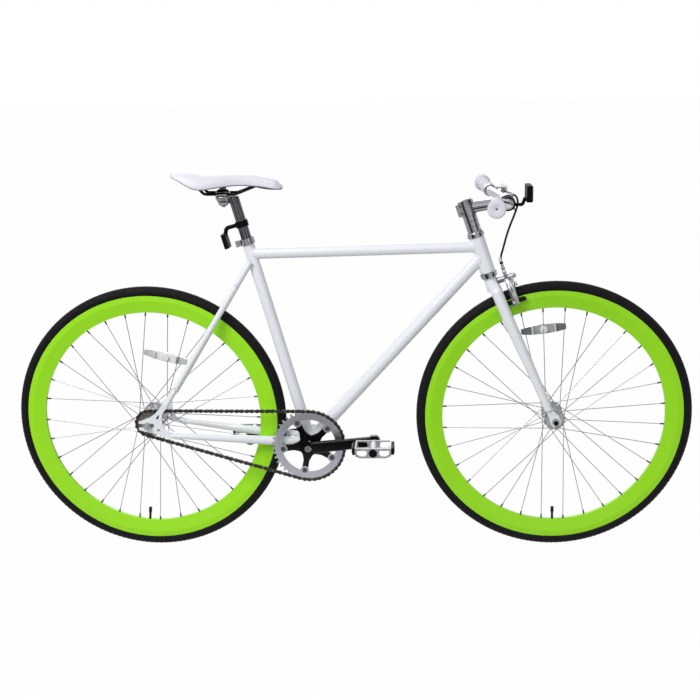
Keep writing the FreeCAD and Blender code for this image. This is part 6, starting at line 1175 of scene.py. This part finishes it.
class BIKE_OT_spoke_reflectors(bpy.types.Operator):
    """Set a tapered lens with a round centre between the spokes of each wheel"""
    bl_idname = "bike.spoke_reflectors"
    bl_label = "Spoke reflectors"

    def execute(self, context):
        tints = colours()
        hazy = made("hazy_lens_acrylic", moulded_plastic, tuple(tints.haze), 0.3, 0.5)
        # Painted shade: the front wheel's lens and ends are darker copies of the clear acrylic. The rear
        # wheel's lens and ends stay pale.
        fields = {"front": (made("grey_lens_acrylic", prismatic_acrylic, tuple(tints.shade), 2 * MM),
                            made("dark_lens_acrylic", prismatic_acrylic, tuple(tints.lens_end_shade), 3 * MM)),
                  "rear": (hazy, made("pale_lens_acrylic", prismatic_acrylic, tuple(tints.haze), 2 * MM))}
        pale = made("pale_lens_plastic", moulded_plastic, tuple(tints.clear), 0.3, 0.5)
        half = SPOKE_LENS_THICKNESS / 2
        rim = SPOKE_LENS_CLIP - 0.8 * MM
        deep = SPOKE_LENS_CLIP_DEPTH / 2
        flat = deep - 0.5 * MM
        clip = [(-deep, 0), (-deep, rim), (-flat, SPOKE_LENS_CLIP), (flat, SPOKE_LENS_CLIP), (deep, rim),
                (deep, 0)]
        for wheel, axle in WHEELS.items():
            lens, dark = fields[wheel]
            low, high = (Vector(corner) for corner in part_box(wheel + "_spoke_reflector"))
            middle = (low + high) / 2
            outward = Vector((middle.x - axle.x, 0, middle.z - axle.z)).normalized()
            along = outward.cross(LEFT)
            body = lofted("lens", self.sections(middle, along, outward, -1, 1, 0))
            obj = piece(wheel + "_spoke_lens", body, lens, wheel + "_wheel", smooth=False)
            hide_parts(wheel + "_spoke_reflector")
            ends = []
            for side in (-1, 1):
                sections = self.sections(middle, along, outward, side * FIELD_START, side * FIELD_STOP,
                                         FIELD_SWELL)
                ends.append(lofted("end", sections))
            piece(wheel + "_lens_ends", joined("lens_ends", ends), dark, wheel + "_wheel",
                  smooth=False)
            trim = [turned("clip", clip, middle, LEFT, 40)]
            for place in (-SPOKE_LENS_DIVIDER, SPOKE_LENS_DIVIDER):
                spot = middle + along * SPOKE_LENS_LENGTH / 2 * place - LEFT * half
                tall = 2 * self.half_height(place) - 0.5 * MM
                trim.append(rounded_slab("divider", DIVIDER_WIDTH, tall, 2 * half, DIVIDER_CORNER, spot,
                                         -along, outward))
            piece(wheel + "_lens_trim", joined("lens_trim", trim), pale, wheel + "_wheel",
                  smooth=False)
        return {"FINISHED"}

    def half_height(self, place):
        """Half the lens's height at a place from minus one to one along it."""
        return SPOKE_LENS_HEIGHT / 2 * (1 - SPOKE_LENS_TAPER * abs(place) ** 2.2)

    def sections(self, middle, along, outward, start, stop, swell):
        """Sections of the lens between two places: flat faces, rounded edges, drawn in at its ends."""
        rings = []
        steps = 36
        edge = SPOKE_LENS_EDGE
        for step in range(steps + 1):
            turn = math.sin(math.pi * (step / steps - 0.5))
            place = start + (stop - start) * (0.5 + 0.5 * turn)
            past = max(abs(place) - 1 + SPOKE_LENS_ROUND, 0) / SPOKE_LENS_ROUND
            tuck = math.sqrt(max(1 - past ** 2, 0))
            tall = self.half_height(place) * (0.6 + 0.4 * tuck) + swell
            thick = (SPOKE_LENS_THICKNESS / 2 - 0.4 * MM) * (0.5 + 0.5 * tuck) + swell
            ring = []
            for up, out in ((1, 1), (-1, 1), (-1, -1), (1, -1)):
                first = outward * up * tall + LEFT * out * (thick - edge)
                second = outward * up * (tall - edge) + LEFT * out * thick
                corner = (first, second) if up * out > 0 else (second, first)
                ring.extend(middle + along * SPOKE_LENS_LENGTH / 2 * place + offset for offset in corner)
            rings.append(ring)
        return rings


class BIKE_OT_brake_shoes(bpy.types.Operator):
    """Mould a round-ended shoe with a bright nut on each brake arm"""
    bl_idname = "bike.brake_shoes"
    bl_label = "Brake shoes"

    def execute(self, context):
        rubber = bpy.data.materials["black_soft_rubber"]
        for side, sign, depth in BRAKE_SIDES:
            low, high = (Vector(corner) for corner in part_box(side + "_brake_pad"))
            inner = min(abs(low.y), abs(high.y))
            outer = max(abs(low.y), abs(high.y))
            out = LEFT * sign
            level = STEER_FOOT + STEER_UP * SHOE_LEVEL
            middle = FRONT_AXLE + STEER_UP * SHOE_LEVEL + out * inner
            shoe = rounded_slab("shoe", SHOE_LENGTH, SHOE_HEIGHT, SHOE_THICKNESS, SHOE_CORNER, middle,
                                STEER_FRONT * -sign, STEER_UP)
            stud = level + STEER_FRONT * depth
            shank = [(inner + SHOE_STUD_SEAT, SHOE_STUD_RADIUS), (outer - SHOE_STUD_END, SHOE_STUD_RADIUS)]
            nut = [(outer - inward, radius) for inward, radius in in_metres(NUT_PROFILE)]
            shoe = joined("shoe", [shoe, turned("stud", shank, stud, out, 24)])
            obj = piece(side + "_brake_shoe", shoe, rubber, side + "_arm")
            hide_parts(side + "_brake_pad")
            piece(side + "_shoe_nut", turned("shoe_nut", nut, stud, out, 24), plated(), side + "_arm")
        return {"FINISHED"}


class BIKE_OT_brake_arms(bpy.types.Operator):
    """Forge the bows of both caliper arms, slim at the bolt and broad at the shoe"""
    bl_idname = "bike.brake_arms"
    bl_label = "Brake arms"

    def execute(self, context):
        for side, sign, depth in BRAKE_SIDES:
            rings = []
            steps = 40
            for step in range(steps + 1):
                share = step / steps
                (across, rise), (run, climb) = self.bow(share)
                swell = ARM_SWELL * math.sin(math.pi / 2 * min(max(share - 0.3, 0) / 0.5, 1))
                middle = BRAKE_BOLT + STEER_FRONT * (depth - swell * sign) + LEFT * sign * across
                middle += STEER_UP * rise
                outward = (LEFT * sign * -climb + STEER_UP * run).normalized()
                rings.append(self.section(middle, outward, ARM_HALF + swell))
            piece(side + "_arm_bow", lofted("arm_bow", rings), silver_alloy(), side + "_arm")
        return {"FINISHED"}

    def bow(self, share):
        """Place and run at a share of the bow: two bends, each drawn between the middles of its legs."""
        first, second, third, last = (Vector(point) for point in ARM_BOW)
        halfway = (second + third) / 2
        if share < 0.5:
            start, corner, stop, along = (first + second) / 2, second, halfway, share * 2
        else:
            start, corner, stop, along = halfway, third, last, share * 2 - 1
        place = start * (1 - along) ** 2 + corner * 2 * along * (1 - along) + stop * along ** 2
        run = (corner - start) * (1 - along) + (stop - corner) * along
        return place, run

    def section(self, middle, outward, half, around=24):
        """An oval section with flat cheeks."""
        ring = []
        for index in range(around):
            angle = 2 * math.pi * index / around
            wide = squared_off(math.cos(angle), 0.6)
            thick = squared_off(math.sin(angle), 0.6)
            ring.append(middle + STEER_FRONT * half * wide + outward * ARM_HALF_THICK * thick)
        return ring


class BIKE_OT_axle_caps(bpy.types.Operator):
    """Press a small black cap on each end of the front axle"""
    bl_idname = "bike.axle_caps"
    bl_label = "Axle caps"

    def execute(self, context):
        low, high = (Vector(corner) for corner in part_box("front_axle"))
        caps = []
        for side, tip in ((-1, low.y), (1, high.y)):
            spot = Vector((FRONT_AXLE.x, tip, FRONT_AXLE.z))
            caps.append(turned("cap", in_metres(CAP_PROFILE), spot, LEFT * side, 32))
        piece("front_axle_caps", joined("front_axle_caps", caps), black_plastic(), "steering")
        return {"FINISHED"}


class BIKE_OT_saddle_clamp(bpy.types.Operator):
    """Round off the clamp that holds the saddle's rails: bolt head, yoke, two plates and a domed nut"""
    bl_idname = "bike.saddle_clamp"
    bl_label = "Saddle clamp"

    def execute(self, context):
        low, high = (Vector(corner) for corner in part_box("saddle_clamp"))
        middle = (low + high) / 2
        size = (high - low) / 2
        shells = []
        for rows in CLAMP_STACK:
            rings = [self.section(middle, size, *row) for row in rows]
            shells.append(lofted("clamp_part", rings))
        grey = bpy.data.materials["polished_grey_alloy"]
        obj = piece("saddle_clamp_stack", joined("saddle_clamp_stack", shells), grey, "seatpost")
        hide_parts("saddle_clamp")
        return {"FINISHED"}

    def section(self, middle, size, level, length, width, around=40):
        """A rounded section; level, length and width are shares of half the clamp's box."""
        ring = []
        for index in range(around):
            angle = 2 * math.pi * index / around
            ahead = squared_off(math.cos(angle), 0.6)
            aside = squared_off(math.sin(angle), 0.6)
            ring.append(middle + Vector((size.x * length * ahead, size.y * width * aside, size.z * level)))
        return ring


class BIKE_OT_stage(bpy.types.Operator):
    """Lay the floor, set the lights and place the camera"""
    bl_idname = "bike.stage"
    bl_label = "Stage"

    def execute(self, context):
        self.floor()
        self.sky()
        self.lights()
        self.camera()
        return {"FINISHED"}

    def seen_rays(self, tree):
        """One for rays that the camera gets straight, mirrored or through glass, nought for the others."""
        rays = put(tree, "ShaderNodeLightPath")
        seen = put(tree, "ShaderNodeMath", {0: rays.outputs["Is Camera Ray"],
                                            1: rays.outputs["Is Glossy Ray"]}, operation="MAXIMUM")
        through = put(tree, "ShaderNodeMath", {0: seen.outputs[0],
                                               1: rays.outputs["Is Transmission Ray"]}, operation="MAXIMUM")
        return through.outputs[0]

    def floor(self):
        """A wide pale floor that looks nearly white to the camera."""
        corners = [(x * FLOOR_HALF, y * FLOOR_HALF, 0) for x, y in ((-1, -1), (1, -1), (1, 1), (-1, 1))]
        mesh = mesh_of("floor", corners, [(0, 1, 2, 3)])
        obj = placed("floor", mesh)
        material, tree, _ = begin("pale_floor")
        pale = put(tree, "ShaderNodeBsdfDiffuse", {"Color": linear("B0B0B0")})
        white = put(tree, "ShaderNodeEmission", {"Color": (1, 1, 1, 1), "Strength": 1.0})
        share = put(tree, "ShaderNodeMath", {0: self.seen_rays(tree), 1: 0.985}, operation="MULTIPLY")
        mix = put(tree, "ShaderNodeMixShader", {0: share.outputs[0], 1: pale.outputs[0],
                                                2: white.outputs[0]})
        put(tree, "ShaderNodeOutputMaterial", {"Surface": mix.outputs[0]})
        mesh.materials.append(material)

    def sky(self):
        """A white surround, dimmer as a source of light than the camera sees it."""
        world = bpy.data.worlds.new("studio")
        bpy.context.scene.world = world
        world.use_nodes = True
        tree = world.node_tree
        tree.nodes.clear()
        strength = put(tree, "ShaderNodeMapRange", {"Value": self.seen_rays(tree), 3: 0.32, 4: 1.0})
        sky = put(tree, "ShaderNodeBackground", {"Color": (1, 1, 1, 1), "Strength": strength.outputs[0]})
        put(tree, "ShaderNodeOutputWorld", {"Surface": sky.outputs[0]})

    def lights(self):
        """Soft lamps, and dark cards round the bicycle."""
        for name, (place, size, power) in LAMPS.items():
            lamp = bpy.data.lights.new(name, "AREA")
            lamp.size = size
            lamp.energy = power
            obj = placed(name, lamp)
            obj.location = place
            aim = LAMP_TARGET - Vector(place)
            obj.rotation_euler = aim.to_track_quat("-Z", "Y").to_euler()
        for name, (place, across, up) in FLAGS.items():
            self.flag(name, Vector(place), Vector(across), Vector(up))

    def flag(self, name, place, across, up):
        """A dark card out of the camera's sight, for gloss and metal to mirror."""
        corners = [place - across - up, place + across - up, place + across + up, place - across + up]
        mesh = mesh_of(name, corners, [(0, 1, 2, 3)])
        material, tree, _ = begin(name + "_cloth")
        end(tree, {"Base Color": linear("101010"), "Roughness": 1.0})
        mesh.materials.append(material)
        obj = placed(name, mesh)
        obj.visible_camera = False
        obj.visible_diffuse = False
        obj.visible_shadow = False

    def camera(self):
        """The camera, at the place and turn that fit the photograph."""
        lens = bpy.data.cameras.new("camera")
        lens.sensor_width = CAMERA_SENSOR
        lens.lens = CAMERA_FOCUS
        camera = placed("camera", lens)
        up = CAMERA_RIGHT.cross(CAMERA_AHEAD)
        turn = Matrix((CAMERA_RIGHT, up, -CAMERA_AHEAD)).transposed()
        camera.matrix_world = Matrix.Translation(CAMERA_PLACE) @ turn.to_4x4()
        bpy.context.scene.camera = camera
        bpy.context.scene.view_settings.view_transform = "Standard"


class BIKE_PT_panel(bpy.types.Panel):
    """Buttons for the bicycle's looks"""
    bl_label = "Bicycle"
    bl_idname = "BIKE_PT_panel"
    bl_space_type = "VIEW_3D"
    bl_region_type = "UI"
    bl_category = "Bicycle"

    def draw(self, context):
        for operator in OPERATORS:
            self.layout.operator(operator.bl_idname)
        for group in (context.scene.bike_colours, context.scene.bike_sizes):
            for key in group.bl_rna.properties.keys():
                if key not in ("rna_type", "name"):
                    self.layout.prop(group, key)


OPERATORS = (BIKE_OT_finishes, BIKE_OT_tread, BIKE_OT_saddle, BIKE_OT_grips, BIKE_OT_welds, BIKE_OT_cable,
             BIKE_OT_lenses, BIKE_OT_spoke_reflectors, BIKE_OT_brake_shoes, BIKE_OT_brake_arms,
             BIKE_OT_axle_caps, BIKE_OT_saddle_clamp, BIKE_OT_stage)
CLASSES = (BikeColours, BikeSizes, *OPERATORS, BIKE_PT_panel)


def register():
    for kind in CLASSES:
        bpy.utils.register_class(kind)
    bpy.types.Scene.bike_colours = PointerProperty(type=BikeColours)
    bpy.types.Scene.bike_sizes = PointerProperty(type=BikeSizes)


def unregister():
    del bpy.types.Scene.bike_sizes
    del bpy.types.Scene.bike_colours
    for kind in reversed(CLASSES):
        bpy.utils.unregister_class(kind)


def main():
    register()
    for operator in OPERATORS:
        group, name = operator.bl_idname.split(".")
        getattr(getattr(bpy.ops, group), name)()


if __name__ == "__main__":
    main()
